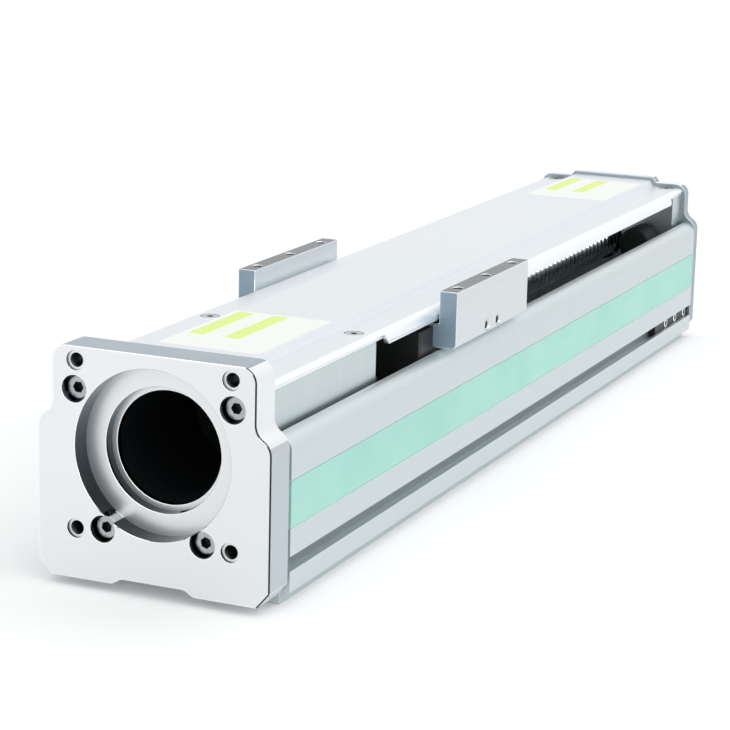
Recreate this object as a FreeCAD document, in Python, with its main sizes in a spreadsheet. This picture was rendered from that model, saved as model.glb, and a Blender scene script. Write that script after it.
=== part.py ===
import FreeCAD, Part
import math
import os
import re
import Sketcher

# Linear stage: a carriage driven by a ball screw inside a U-shaped aluminium base.
# Millimetres. +X runs from the motor plate to the rear plate, +Z is up,
# and the origin is under the middle of the stage, on the face it stands on.
# Every height is measured from that face, every half width from the middle plane.

SIZES = [
    # The whole stage
    ("overall_length", "415", "face of the motor plate to face of the rear plate"),
    ("axis_height", "42.5", "screw axis above the mounting face"),
    ("base_half_width", "37.25", "outer faces of the base"),
    # Motor plate
    ("plate_thickness", "12", "motor plate"),
    ("plate_inset", "0.05", "both end plates inside the faces of the base"),
    ("plate_margin", "4.25", "top edge above the middle of the upper motor holes"),
    ("plate_bottom", "2.6", "lowest edge of both end plates"),
    ("plate_shoulder", "47", "where the plate sides start to step in"),
    ("plate_step_radius", "5", "the two arcs of that step"),
    ("plate_corner_radius", "4.5", "top corners of both end plates"),
    ("plate_chamfer_width", "4", "bottom corners of both end plates"),
    ("plate_chamfer_height", "4.7", "bottom corners of both end plates"),
    ("plate_relief_half_width", "9.1", "raised middle of the bottom edge"),
    ("plate_relief_run", "5", "slope beside that middle"),
    ("plate_relief_rise", "1.8", "height of that middle"),
    ("pilot_diameter", "50", "recess that centres the motor"),
    ("pilot_depth", "6.5", "depth of the motor recess"),
    ("collar_diameter", "37", "second step of the bore"),
    ("collar_depth", "3.5", "length of that second step"),
    ("throat_diameter", "33.5", "narrowest part of the bore"),
    ("motor_hole_spacing", "49.5", "square of the four motor holes"),
    ("motor_hole_diameter", "4.2", "tapping size of an M5 thread"),
    ("motor_hole_chamfer", "0.8", "countersink at each motor hole"),
    ("plate_screw_upper_offset", "25.2", "upper plate screws from the middle plane"),
    ("plate_screw_rise", "16.4", "upper plate screws above the axis"),
    ("plate_screw_lower_offset", "16", "lower plate screws from the middle plane"),
    ("plate_screw_drop", "23.8", "lower plate screws below the axis"),
    ("plate_head_sink", "2.4", "heads of the plate screws below the face"),
    ("counterbore_play", "0.5", "socket heads in their counterbores"),
    # Base profile
    ("base_gap", "1.3", "shadow gap behind the motor plate"),
    ("rebate_width", "3.25", "rebate along the lower edge"),
    ("rebate_height", "4", "rebate along the lower edge"),
    ("relief_half_width", "12", "relief under the base"),
    ("relief_depth", "1", "relief under the base"),
    ("slot_height", "12.45", "middle of the side slots"),
    ("slot_opening", "4.4", "mouth of the side slots"),
    ("slot_lip", "1.6", "lips of the side slots"),
    ("slot_cavity", "7.6", "width of the side slots behind the lips"),
    ("slot_depth", "4.55", "depth of the side slots"),
    ("strip_middle", "29.95", "middle height of the coloured strips"),
    ("strip_width", "14.1", "groove of the coloured strips"),
    ("strip_depth", "0.7", "groove of the coloured strips"),
    ("strip_gap", "0.1", "play of a strip in its groove, each edge"),
    ("shoulder_height", "50", "top of the side walls"),
    ("shoulder_radius", "4.5", "outer corner of the side walls"),
    ("wall_thickness", "5.05", "side walls at their top"),
    ("floor_height", "9", "floor of the channel"),
    ("trough_gap", "0.5", "channel below the rails, behind their faces"),
    ("base_hole_diameter", "4.2", "tapping size of an M5 thread"),
    ("base_hole_depth", "8", "mounting holes in the base"),
    ("base_hole_inset", "4", "mounting holes from the edge of the foot"),
    ("base_hole_pitch", "100", "mounting holes along the base"),
    # Guide rails and balls
    ("rail_seat_height", "30", "lower edge of the guide rails"),
    ("rail_height", "14", "guide rails"),
    ("rail_width", "6", "guide rails"),
    ("rail_seat_depth", "0.8", "backs of the rails behind the channel"),
    ("guide_gap", "0.7", "faces of the rails to the carriage"),
    ("rail_end_gap", "0.5", "rail to each screw housing"),
    ("groove_rise", "3.5", "lower ball row above the foot of the rails"),
    ("groove_play", "0.2", "balls in their grooves"),
    ("groove_pitch", "7", "lower ball row to upper ball row"),
    ("guide_ball_radius", "2", "balls between rail and carriage"),
    ("guide_ball_pitch", "12", "balls along a row"),
    # Screw housings
    ("front_housing_length", "74", "behind the motor plate"),
    ("rear_housing_length", "12", "in front of the rear plate"),
    ("housing_wall", "1.9", "over the room for the coupling"),
    ("housing_play", "0.2", "housings beside and over what they fit between"),
    ("cavity_diameter", "36", "room for the coupling"),
    ("front_bearing_bore_end", "3.5", "wall behind the front bearings"),
    ("front_throat_gap", "3", "screw to the hole in that wall"),
    ("rear_wall", "2.5", "wall in front of the rear bearing"),
    ("rear_throat_gap", "1", "screw to the hole in that wall"),
    ("thread_gap", "0.05", "screw shank to its tapped hole"),
    # Screw, its bearings and what holds them
    ("screw_diameter", "16", "ball screw"),
    ("front_journal_diameter", "12", "screw in the front bearings"),
    ("drive_journal_diameter", "10", "end that takes the coupling"),
    ("drive_journal_length", "12", "end that takes the coupling"),
    ("rear_journal_diameter", "10", "screw in the rear bearing"),
    ("rear_journal_over", "2.5", "rear journal past its bearing"),
    ("rear_journal_chamfer", "0.5", "end of the rear journal"),
    ("front_bearing_diameter", "28", "outside of each front bearing"),
    ("front_bearing_width", "8", "each front bearing"),
    ("rear_bearing_diameter", "22", "outside of the rear bearing"),
    ("rear_bearing_width", "6", "rear bearing"),
    ("bearing_ball_radius", "2.3", "balls of the bearings"),
    ("race_play", "0.15", "balls of the bearings in their grooves"),
    ("race_depth", "0.7", "how far a ball reaches into each ring"),
    ("retainer_length", "6", "threaded ring that holds the front bearings"),
    ("spanner_slot_width", "4", "slots of the threaded ring"),
    ("spanner_slot_depth", "3", "slots of the threaded ring"),
    ("lock_nut_length", "7", "nut that clamps the front bearings"),
    ("lock_nut_diameter", "20", "nut that clamps the front bearings"),
    ("lock_nut_play", "1", "that nut inside the threaded ring"),
    ("lock_nut_slot", "3", "slots of that nut"),
    ("lock_nut_slot_depth", "1.5", "slots of that nut"),
    ("clip_thickness", "1", "retaining ring on the rear journal"),
    ("clip_diameter", "15", "retaining ring on the rear journal"),
    ("clip_mouth", "4", "opening of the retaining ring"),
    ("clip_gap", "0.2", "retaining ring to the rear bearing"),
    # Bumpers
    ("bumper_diameter", "13.5", "rubber stops on the housings"),
    ("bumper_length", "15.5", "rubber stops on the housings"),
    ("bumper_inset", "8", "middle of the rubber stops inside the faces of the rails"),
    ("bumper_nose_radius", "2", "free ends of the rubber stops"),
    ("bumper_rise", "1", "rubber stops above the axis"),
    # Cover
    ("cover_front_gap", "0.3", "cover to the motor plate"),
    ("cover_rear_gap", "0.2", "cover to the rear plate"),
    ("cover_inset", "4.85", "cover and upper end plates inside the faces of the base"),
    ("cover_sheet", "2.2", "wall of the cover"),
    ("ridge_half_width", "16.9", "raised middle of the cover"),
    ("ridge_rise", "2.4", "raised middle of the cover"),
    ("ridge_run", "1.7", "slope beside the raised middle"),
    ("ridge_bend", "0.8", "bends of that slope"),
    ("cover_edge_radius", "4", "long edges of the cover"),
    ("cover_inner_radius", "1.2", "long edges of the cover, inside"),
    ("lip_thickness", "1.6", "side lips of the cover"),
    ("lip_drop", "4.4", "lower edge of the side lips below the cover's top"),
    ("notch_drop", "1.3", "lower edge of the short lips over the housings"),
    ("notch_radius", "1.5", "inner corner where a lip is cut short"),
    ("lip_corner_radius", "1.5", "lower corners of the long lips"),
    ("front_notch_reach", "5", "short lips past the front housing"),
    ("rear_notch_reach", "7.5", "short lips past the rear housing"),
    ("front_cover_screw_inset", "3.8", "front cover screws from the end of their housing"),
    ("rear_cover_screw_inset", "3.5", "rear cover screws in front of the rear plate"),
    ("cover_screw_edge", "7.7", "cover screws from the long edges"),
    # Rear plate
    ("rear_plate_thickness", "5", "rear plate"),
    ("rear_plate_step", "1.6", "rear plate above the cover"),
    ("rear_ridge_margin", "0.6", "raised middle wider than the cover's"),
    ("rear_ridge_rise", "2.1", "raised middle of the rear plate"),
    ("rear_screw_offset", "22", "rear plate screws from the middle plane"),
    ("rear_screw_rise", "10", "upper rear plate screws above the axis"),
    ("rear_screw_drop", "20", "lower rear plate screws below the axis"),
    # Carriage
    ("carriage_station", "163.5", "middle of the carriage from the motor plate's face"),
    ("carriage_length", "66", "steel block of the carriage"),
    ("carriage_overhang", "2", "uprights outside the faces of the base"),
    ("carriage_step", "5.4", "top of the carriage above the cover"),
    ("carriage_gap", "0.8", "carriage to the side walls and to the cover"),
    ("deck_gap", "3", "carriage under the cover"),
    ("arm_gap", "2.4", "arms above the side walls"),
    ("neck_gap", "1", "carriage above the rails"),
    ("block_gap", "5", "carriage above the floor of the channel"),
    ("arm_radius", "3", "lower outer corners of the arms"),
    ("block_chamfer_width", "4.3", "lower edges of the carriage"),
    ("block_chamfer_height", "4", "lower edges of the carriage"),
    ("top_hole_pitch", "25", "top holes along the carriage"),
    ("top_hole_inset", "3.05", "top holes from the outer faces of the uprights"),
    ("top_hole_diameter", "3.4", "tapping size of an M4 thread"),
    ("top_hole_depth", "12", "top holes"),
    ("side_hole_pitch", "10", "side holes along the carriage"),
    ("side_hole_rise", "1.8", "side holes above the underside of the arms"),
    ("side_hole_diameter", "2.5", "tapping size of an M3 thread"),
    ("side_hole_depth", "6", "side holes"),
    ("cap_thickness", "10", "end caps of the carriage"),
    ("cap_inset", "0.2", "end caps inside the block's outline"),
    ("cap_drop", "1.2", "end caps and seals below the deck"),
    ("seal_play", "0.7", "end caps and seals to the screw"),
    ("seal_thickness", "2", "end seals of the carriage"),
    ("nut_diameter", "28", "body of the ball nut"),
    ("nut_length", "40", "ball nut with its flange"),
    ("nut_play", "0.3", "ball nut to the screw"),
    ("nut_flange_width", "6", "flange of the ball nut"),
    ("nut_flat_margin", "0.5", "flats of the flange above the body"),
    ("nut_screw_inset", "2.65", "flange screws from the body of the nut"),
    ("nut_flange_thickness", "6", "flange of the ball nut"),
    ("nut_pocket_gap", "0.3", "flange to the pocket of the front cap"),
    ("nut_screw_rise", "8", "flange screws above and below the axis"),
    ("cap_screw_offset", "23.5", "upper cap screws from the middle plane"),
    ("cap_screw_drop", "5.5", "upper cap screws below the top of the caps"),
    ("cap_screw_low_offset", "18", "lower cap screws from the middle plane"),
    ("cap_screw_low_height", "20", "lower cap screws"),
    ("nipple_offset", "8", "grease nipples from the middle plane"),
    ("nipple_height", "20", "grease nipples"),
    ("nipple_diameter", "4", "grease nipples"),
    ("nipple_length", "7", "grease nipples in front of the seal"),
    ("nipple_collar_radius", "2.88", "corners of the hexagon collar"),
    ("nipple_tip_radius", "1.2", "front of the tip"),
    ("nipple_neck_radius", "1.8", "back of the tip"),
    # Housing screws under the base
    ("housing_screw_offset", "18", "screws up into the housings"),
    ("front_screw_inset", "20.7", "first front screw from the end of the base"),
    ("front_screw_far_inset", "13", "second front screw from the end of its housing"),
    ("housing_head_sink", "0.6", "heads of the housing screws above the foot"),
    ("rear_screw_inset", "6", "rear screws from the end of the base"),
    # Nut bar in the near slot
    ("slot_bar_length", "44", "steel bar in the near slot"),
    ("slot_bar_width", "7", "steel bar in the near slot"),
    ("slot_bar_depth", "2.4", "steel bar in the near slot"),
    ("slot_bar_inset", "6", "bar from the rear plate's face"),
    ("slot_bar_play", "0.1", "bar behind the lips of the slot"),
    ("slot_screw_pitch", "13", "set screws along the bar"),
    ("slot_screw_inset", "4", "last set screw from the end of the bar"),
    ("slot_screw_diameter", "4", "set screws of the bar"),
    ("slot_screw_length", "2.8", "set screws of the bar"),
    ("slot_screw_socket", "1.16", "corner radius of the key hole"),
    # Screws
    ("screw_four_diameter", "4", "M4 screws"),
    ("screw_four_head", "7", "M4 screws"),
    ("screw_four_head_height", "4", "M4 screws"),
    ("screw_four_length", "16", "M4 screws of the motor plate"),
    ("screw_four_socket", "1.7", "corner radius of the key hole"),
    ("screw_five_diameter", "5", "M5 screws"),
    ("screw_five_head", "8.5", "M5 screws"),
    ("screw_five_head_height", "5", "M5 screws"),
    ("screw_five_length", "12", "M5 screws"),
    ("screw_five_socket", "2.3", "corner radius of the key hole"),
    ("screw_three_diameter", "3", "M3 screws"),
    ("screw_three_head", "5.5", "M3 screws"),
    ("screw_three_head_height", "3", "M3 screws"),
    ("screw_three_length", "10", "M3 screws"),
    ("screw_three_socket", "1.45", "corner radius of the key hole"),
    ("cover_screw_head", "5.8", "countersunk M3 head"),
    ("cover_screw_cone", "1.4", "countersunk M3 head"),
    ("cover_screw_length", "8", "countersunk M3 screw"),
    ("cover_screw_socket", "1.08", "corner radius of the key hole"),
    ("rear_screw_head", "7.6", "countersunk M4 head"),
    ("rear_screw_cone", "1.8", "countersunk M4 head"),
    ("rear_screw_length", "14", "countersunk M4 screw"),
    ("rear_screw_socket", "1.44", "corner radius of the key hole"),
    ("head_gap", "0.05", "screw head to its countersink"),
    ("hole_run_out", "1", "threaded holes past the ends of their screws"),
]

# Sizes that follow from the driving ones, each worked out from what it meets
DERIVED = {
    # Heights
    "housing_top": "axis_height + cavity_diameter / 2 + housing_wall",
    "cover_height": "housing_top + cover_sheet",
    "top_height": "axis_height + motor_hole_spacing / 2 + plate_margin",
    "carriage_top": "cover_height + carriage_step",
    "rear_plate_top": "cover_height + rear_plate_step",
    "lip_bottom": "cover_height - lip_drop",
    "notch_height": "cover_height - notch_drop",
    "rail_top": "rail_seat_height + rail_height",
    "lower_groove_height": "rail_seat_height + groove_rise",
    "housing_neck_height": "rail_top + housing_play",
    "neck_bottom": "rail_top + neck_gap",
    "block_bottom": "floor_height + block_gap",
    "arm_bottom": "shoulder_height + arm_gap",
    "side_hole_height": "arm_bottom + side_hole_rise",
    "deck_height": "housing_top - deck_gap",
    "cap_top": "deck_height - cap_drop",
    "cap_screw_height": "cap_top - cap_screw_drop",
    "bumper_height": "axis_height + bumper_rise",
    "rear_screw_high": "axis_height + rear_screw_rise",
    "rear_screw_low": "axis_height - rear_screw_drop",
    # Half widths
    "plate_half_width": "base_half_width - plate_inset",
    "plate_upper_half_width": "base_half_width - cover_inset",
    "foot_half_width": "base_half_width - rebate_width",
    "base_hole_offset": "foot_half_width - base_hole_inset",
    "channel_half_width": "base_half_width - wall_thickness",
    "rail_back": "channel_half_width + rail_seat_depth",
    "rail_face": "rail_back - rail_width",
    "trough_half_width": "rail_face + trough_gap",
    "bumper_offset": "rail_face - bumper_inset",
    "block_half_width": "rail_face - guide_gap",
    "groove_offset": "(rail_face + block_half_width) / 2",
    "neck_half_width": "channel_half_width - carriage_gap",
    "upright_half_gap": "plate_upper_half_width + carriage_gap",
    "carriage_half_width": "base_half_width + carriage_overhang",
    "top_hole_offset": "carriage_half_width - top_hole_inset",
    "housing_lower_half_width": "trough_half_width - housing_play",
    "housing_upper_half_width": "plate_upper_half_width - lip_thickness - housing_play",
    "cover_screw_offset": "plate_upper_half_width - cover_screw_edge",
    "rear_ridge_half_width": "ridge_half_width + rear_ridge_margin",
    # Round pieces and what they run in
    "motor_hole_mouth": "motor_hole_diameter + 2 * motor_hole_chamfer",
    "plate_counterbore": "screw_four_head + 2 * counterbore_play",
    "plate_counterbore_depth": "screw_four_head_height + plate_head_sink",
    "housing_counterbore": "screw_five_head + 2 * counterbore_play",
    "housing_counterbore_depth": "screw_five_head_height + housing_head_sink",
    "groove_radius": "guide_ball_radius + groove_play",
    "raceway_radius": "bearing_ball_radius + race_play",
    "race_gap": "bearing_ball_radius - race_depth",
    "front_throat_diameter": "screw_diameter + 2 * front_throat_gap",
    "rear_throat_diameter": "screw_diameter + 2 * rear_throat_gap",
    "retainer_bore": "lock_nut_diameter + 2 * lock_nut_play",
    "nut_bore": "screw_diameter + 2 * nut_play",
    "cap_bore": "screw_diameter + 2 * seal_play",
    "nut_flange_diameter": "nut_diameter + 2 * nut_flange_width",
    "nut_flange_half_height": "nut_diameter / 2 + nut_flat_margin",
    "nut_screw_offset": "sqrt((nut_diameter / 2 + nut_screw_inset) ^ 2 - nut_screw_rise ^ 2)",
}

GUIDE_BALLS_PER_ROW = 5
BEARING_BALLS = 6
FRONT_BEARING_NAMES = ("front_bearing_one", "front_bearing_two")
BASE_HOLES_PER_SIDE = 4
SLOT_SCREWS = 3
CIRCLE = 360
TOUCHING = 1e-4

document = FreeCAD.newDocument("LinearStage")
sheet = document.addObject("Spreadsheet::Sheet", "Sizes")
for row, (alias, amount, note) in enumerate(SIZES, start=1):
    sheet.set(f"A{row}", note)
    sheet.set(f"B{row}", amount)
    sheet.setAlias(f"B{row}", alias)
document.recompute()
ALIASES = {entry[0] for entry in SIZES}

# Stations along X, each written out from the driving sizes
FRONT = "-overall_length / 2"
REAR = "overall_length / 2"
PLATE_BACK = f"({FRONT} + plate_thickness)"
BASE_START = f"({PLATE_BACK} + base_gap)"
BASE_END = f"({REAR} - rear_plate_thickness)"
BASE_LENGTH = f"({BASE_END} - {BASE_START})"
HOUSING_END = f"({PLATE_BACK} + front_housing_length)"
REAR_HOUSING_START = f"({BASE_END} - rear_housing_length)"
RAIL_START = f"({HOUSING_END} + rail_end_gap)"
RAIL_LENGTH = f"({REAR_HOUSING_START} - rail_end_gap - {RAIL_START})"
CARRIAGE_MIDDLE = f"({FRONT} + carriage_station)"
CARRIAGE_START = f"({CARRIAGE_MIDDLE} - carriage_length / 2)"
CARRIAGE_END = f"({CARRIAGE_MIDDLE} + carriage_length / 2)"
FRONT_BEARING_END = f"({HOUSING_END} - front_bearing_bore_end)"
FRONT_BEARING_STACK = f"front_bearing_width * {len(FRONT_BEARING_NAMES)}"
FRONT_BEARING_START = f"({FRONT_BEARING_END} - {FRONT_BEARING_STACK})"
REAR_BEARING_START = f"({REAR_HOUSING_START} + rear_wall)"
REAR_BEARING_END = f"({REAR_BEARING_START} + rear_bearing_width)"
LOCK_NUT_START = f"({FRONT_BEARING_START} - lock_nut_length)"
DRIVE_END = f"({LOCK_NUT_START} - drive_journal_length)"
REAR_JOURNAL_END = f"({REAR_BEARING_END} + rear_journal_over)"
FRONT_COVER_SCREWS = f"({HOUSING_END} - front_cover_screw_inset)"
REAR_COVER_SCREWS = f"({BASE_END} - rear_cover_screw_inset)"

# Heights and half widths that follow from the driving sizes
UPPER_GROOVE = "(lower_groove_height + groove_pitch)"
HALF_GROOVE_IN_RAIL = "sqrt(groove_radius ^ 2 - (rail_face - groove_offset) ^ 2)"
HALF_GROOVE_IN_BLOCK = "sqrt(groove_radius ^ 2 - (groove_offset - block_half_width) ^ 2)"
PLATE_STEP = "(plate_half_width - plate_upper_half_width)"
PLATE_STEP_RISE = f"sqrt({PLATE_STEP} * (4 * plate_step_radius - {PLATE_STEP}))"
STRIP_BOTTOM = "(strip_middle - strip_width / 2)"
STRIP_TOP = "(strip_middle + strip_width / 2)"
SLOT_BACK = "(base_half_width - slot_depth)"
LIP_BACK = "(base_half_width - slot_lip)"


def spelled(expression):
    """The expression with each size that follows from others written out in driving sizes."""
    def point(word):
        follows = DERIVED.get(word.group())
        return f"({spelled(follows)})" if follows else word.group()
    return re.sub(r"[a-z_]+", point, str(expression))


def number(expression):
    """Value of an expression in the sheet's words."""
    return float(sheet.evalExpression(spelled(expression)))


def bound(expression):
    """The same expression as other objects read it."""
    def point(word):
        return "Sizes." + word.group() if word.group() in ALIASES else word.group()
    return re.sub(r"[a-z_]+", point, spelled(expression))


def bind(item, place, expression):
    item.setExpression(place, bound(expression))


def set_station(item, across, along, up):
    """Bind the place of an object to three expressions, in X, Y and Z."""
    for axis, expression in zip("xyz", (across, along, up)):
        bind(item, f"Placement.Base.{axis}", expression)


def new_body(label):
    body = document.addObject("PartDesign::Body", label)
    body.Label = label
    return body


def new_sketch(body, plane, offset, lift="0"):
    """Sketch on an origin plane of its body, moved along the plane's normal by offset."""
    sketch = body.newObject("Sketcher::SketchObject", f"{body.Label}_sketch")
    support = next(item for item in body.Origin.OriginFeatures if item.Role == plane)
    sketch.AttachmentSupport = [(support, "")]
    sketch.MapMode = "FlatFace"
    bind(sketch, "AttachmentOffset.Base.z", offset)
    bind(sketch, "AttachmentOffset.Base.y", lift)
    return sketch


def fix_point(sketch, geometry, position, point, name):
    """Hold a point of the sketch at two bound distances from its origin."""
    for kind, expression in zip(("DistanceX", "DistanceY"), point):
        amount = number(expression)
        constraint = Sketcher.Constraint(kind, -1, 1, geometry, position, amount)
        constraint.Name = f"{name}_{kind[-1]}"
        sketch.addConstraint(constraint)
        bind(sketch, f"Constraints.{constraint.Name}", expression)


def fix_radius(sketch, geometry, radius, name):
    constraint = Sketcher.Constraint("Radius", geometry, number(radius))
    constraint.Name = name
    sketch.addConstraint(constraint)
    bind(sketch, f"Constraints.{name}", radius)


def short_arc(start, end, radius, turn):
    """The short arc from start to end, which turns left for 1 and right for -1."""
    chord = end - start
    rise = math.sqrt(max(radius ** 2 - (chord.Length / 2) ** 2, 0))
    left = FreeCAD.Vector(-chord.y, chord.x, 0).normalize()
    middle = (start + end) / 2 + left * rise * turn
    first, last = (start, end) if turn > 0 else (end, start)
    angles = [math.atan2(point.y - middle.y, point.x - middle.x) for point in (first, last)]
    circle = Part.Circle(middle, FreeCAD.Vector(0, 0, 1), radius)
    return Part.ArcOfCircle(circle, angles[0], angles[1])


def draw_outline(sketch, corners):
    """Closed outline through the corners.

    A corner is two expressions, and a radius and a turn where an arc leads to it.
    """
    first = sketch.GeometryCount
    count = len(corners)
    points = [FreeCAD.Vector(number(corner[0]), number(corner[1]), 0) for corner in corners]
    ends = []
    for index, corner in enumerate(corners):
        start, end = points[index - 1], points[index]
        if len(corner) == 4:
            sketch.addGeometry(short_arc(start, end, number(corner[2]), corner[3]), False)
            ends.append((1, 2) if corner[3] > 0 else (2, 1))
        else:
            sketch.addGeometry(Part.LineSegment(start, end), False)
            ends.append((1, 2))
    for index, corner in enumerate(corners):
        following = (index + 1) % count
        here, onward = ends[index][1], ends[following][0]
        pair = (first + index, here, first + following, onward)
        sketch.addConstraint(Sketcher.Constraint("Coincident", *pair))
        fix_point(sketch, first + index, here, corner[:2], f"corner_{first + index}")
        if len(corner) == 4:
            fix_radius(sketch, first + index, corner[2], f"bend_{first + index}")


def draw_circle(sketch, across, up, diameter):
    index = sketch.GeometryCount
    centre = FreeCAD.Vector(number(across), number(up), 0)
    radius = f"({diameter}) / 2"
    normal = FreeCAD.Vector(0, 0, 1)
    sketch.addGeometry(Part.Circle(centre, normal, number(radius)), False)
    fix_point(sketch, index, 3, (across, up), f"centre_{index}")
    fix_radius(sketch, index, radius, f"round_{index}")


def both_sides(half):
    """Whole outline from its right half, listed from the middle plane round to it."""
    left = []
    for index in reversed(range(len(half))):
        across, up = half[index][:2]
        bend = half[index + 1][2:] if index + 1 < len(half) else ()
        left.append((f"-({across})", up) + bend)
    return half + left


def rectangle(left, bottom, right, top):
    return [(left, bottom), (right, bottom), (right, top), (left, top)]


def pad(body, sketch, length):
    feature = body.newObject("PartDesign::Pad", f"{body.Label}_pad")
    feature.Profile = sketch
    bind(feature, "Length", length)
    return feature


def pocket(body, sketch, depth, along_normal):
    """Cut the sketch into the body, along its normal or against it."""
    before = body.Shape.Volume
    feature = body.newObject("PartDesign::Pocket", f"{body.Label}_pocket")
    feature.Profile = sketch
    feature.Reversed = along_normal
    bind(feature, "Length", depth)
    document.recompute()
    if feature.Shape.Volume > before - 1e-6:
        raise RuntimeError(f"{feature.Label} cuts nothing")
    return feature


def extruded(label, corners, start, length):
    """Body of one section in the YZ plane, from a station along X."""
    body = new_body(label)
    sketch = new_sketch(body, "YZ_Plane", start)
    draw_outline(sketch, corners)
    pad(body, sketch, length)
    document.recompute()
    return body


def turned(label, corners):
    """Body turned about the screw axis, from stations and radii."""
    body = new_body(label)
    sketch = new_sketch(body, "XZ_Plane", "0", "axis_height")
    draw_outline(sketch, corners)
    feature = body.newObject("PartDesign::Revolution", f"{label}_turn")
    feature.Profile = sketch
    feature.ReferenceAxis = (sketch, ["H_Axis"])
    feature.Angle = CIRCLE
    document.recompute()
    return body


def bore(body, start, circles, depth):
    """Round holes along +X from a station; each circle is across, up and diameter."""
    sketch = new_sketch(body, "YZ_Plane", start)
    for circle in circles:
        draw_circle(sketch, *circle)
    return pocket(body, sketch, depth, True)


def bore_up(body, height, circles, depth):
    """Round holes along +Z from a height; each circle is station, across and diameter."""
    sketch = new_sketch(body, "XY_Plane", height)
    for circle in circles:
        draw_circle(sketch, *circle)
    return pocket(body, sketch, depth, True)


def bore_down(body, height, circles, depth):
    sketch = new_sketch(body, "XY_Plane", height)
    for circle in circles:
        draw_circle(sketch, *circle)
    return pocket(body, sketch, depth, False)


def four_corners(across, rise, drop=None):
    """The four places at both sides of the middle plane, above and below the axis."""
    drop = drop or rise
    return [(f"{side}({across})", f"axis_height {level}")
            for side in ("", "-") for level in (f"+ ({rise})", f"- ({drop})")]


def cylinder(name, radius, height):
    item = document.addObject("Part::Cylinder", name)
    bind(item, "Radius", radius)
    bind(item, "Height", height)
    return item


def boolean(kind, name, base, tool):
    item = document.addObject(f"Part::{kind}", name)
    item.Base = base
    item.Tool = tool
    return item


def aim(item, direction, across, along, up):
    """Turn an object that is built along +Z and put it in its place."""
    turn = FreeCAD.Rotation(FreeCAD.Vector(0, 0, 1), FreeCAD.Vector(*direction))
    item.Placement = FreeCAD.Placement(FreeCAD.Vector(), turn)
    set_station(item, across, along, up)
    return item


def key_hole(name, screw, socket, depth):
    """Cut a hexagon into the top of a screw head."""
    hexagon = document.addObject("Part::Prism", f"{name}_key")
    hexagon.Polygon = 6
    bind(hexagon, "Circumradius", socket)
    bind(hexagon, "Height", depth)
    return boolean("Cut", name, screw, hexagon)


def socket_screw(name, size, length):
    """Socket head screw built along +Z, with the top of its head at the origin."""
    head = cylinder(f"{name}_head", f"{size}_head / 2", f"{size}_head_height")
    shank = cylinder(f"{name}_shank", f"{size}_diameter / 2", f"{size}_head_height + {length}")
    solid = boolean("Fuse", f"{name}_solid", head, shank)
    return key_hole(name, solid, f"{size}_socket", f"{size}_head_height / 2")


def countersunk_screw(name, size, kind):
    """Countersunk screw built along +Z, with its flat top at the origin."""
    top = document.addObject("Part::Cone", f"{name}_head")
    bind(top, "Radius1", f"{kind}_head / 2")
    bind(top, "Radius2", f"{size}_diameter / 2")
    bind(top, "Height", f"{kind}_cone")
    shank = cylinder(f"{name}_shank", f"{size}_diameter / 2", f"{kind}_length")
    solid = boolean("Fuse", f"{name}_solid", top, shank)
    return key_hole(name, solid, f"{kind}_socket", f"{kind}_cone")


def group(label, items):
    """One node for several separate solids."""
    compound = document.addObject("Part::Compound", label)
    compound.Label = label
    compound.Links = items
    return compound


def balls(label, places, radius):
    """One node of equal balls; a place is three expressions."""
    spheres = []
    for index, place in enumerate(places):
        sphere = document.addObject("Part::Sphere", f"{label}_{index}")
        bind(sphere, "Radius", radius)
        set_station(sphere, *place)
        spheres.append(sphere)
    return group(label, spheres)


def plate_half(top):
    """Right half of an end plate's outline, up to the corners that top lists."""
    middle = "((plate_half_width + plate_upper_half_width) / 2)"
    return [
        ("plate_half_width - plate_chamfer_width", "plate_bottom"),
        ("plate_half_width", "plate_bottom + plate_chamfer_height"),
        ("plate_half_width", "plate_shoulder"),
        (middle, f"plate_shoulder + {PLATE_STEP_RISE} / 2", "plate_step_radius", 1),
        ("plate_upper_half_width", f"plate_shoulder + {PLATE_STEP_RISE}", "plate_step_radius", -1),
    ] + top


def rounded_top(height):
    """Upper corner of an end plate."""
    return [
        ("plate_upper_half_width", f"{height} - plate_corner_radius"),
        ("plate_upper_half_width - plate_corner_radius", height, "plate_corner_radius", 1),
    ]


def motor_flange():
    """Plate that takes the motor, with its stepped bore and counterbored screw holes."""
    run, rise = "(plate_relief_run / 2)", "(plate_relief_rise / 2)"
    bend = f"(({run} ^ 2 + {rise} ^ 2) / (2 * {rise}))"
    relief = [
        ("plate_relief_half_width", "plate_bottom + plate_relief_rise"),
        (f"plate_relief_half_width + {run}", f"plate_bottom + {rise}", bend, -1),
        ("plate_relief_half_width + plate_relief_run", "plate_bottom", bend, 1),
    ]
    half = relief + plate_half(rounded_top("top_height"))
    body = extruded("motor_flange", both_sides(half), FRONT, "plate_thickness")
    centre = ("0", "axis_height")
    bore(body, FRONT, [(*centre, "pilot_diameter")], "pilot_depth")
    bore(body, f"{FRONT} + pilot_depth", [(*centre, "collar_diameter")], "collar_depth")
    bore(body, f"{FRONT} + pilot_depth + collar_depth", [(*centre, "throat_diameter")],
         "plate_thickness - pilot_depth - collar_depth")
    motor_holes = four_corners("motor_hole_spacing / 2", "motor_hole_spacing / 2")
    bore(body, FRONT, [(*place, "motor_hole_diameter") for place in motor_holes],
         "plate_thickness")
    bore(body, FRONT, [(*place, "motor_hole_mouth") for place in motor_holes],
         "(motor_hole_mouth - motor_hole_diameter) / 2")
    bore(body, FRONT, [(*place, "plate_counterbore") for place in plate_screw_places()],
         "plate_counterbore_depth")
    bore(body, f"{FRONT} + plate_counterbore_depth",
         [(*place, "screw_four_diameter + 2 * thread_gap") for place in plate_screw_places()],
         "plate_thickness - plate_counterbore_depth")
    return body


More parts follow.
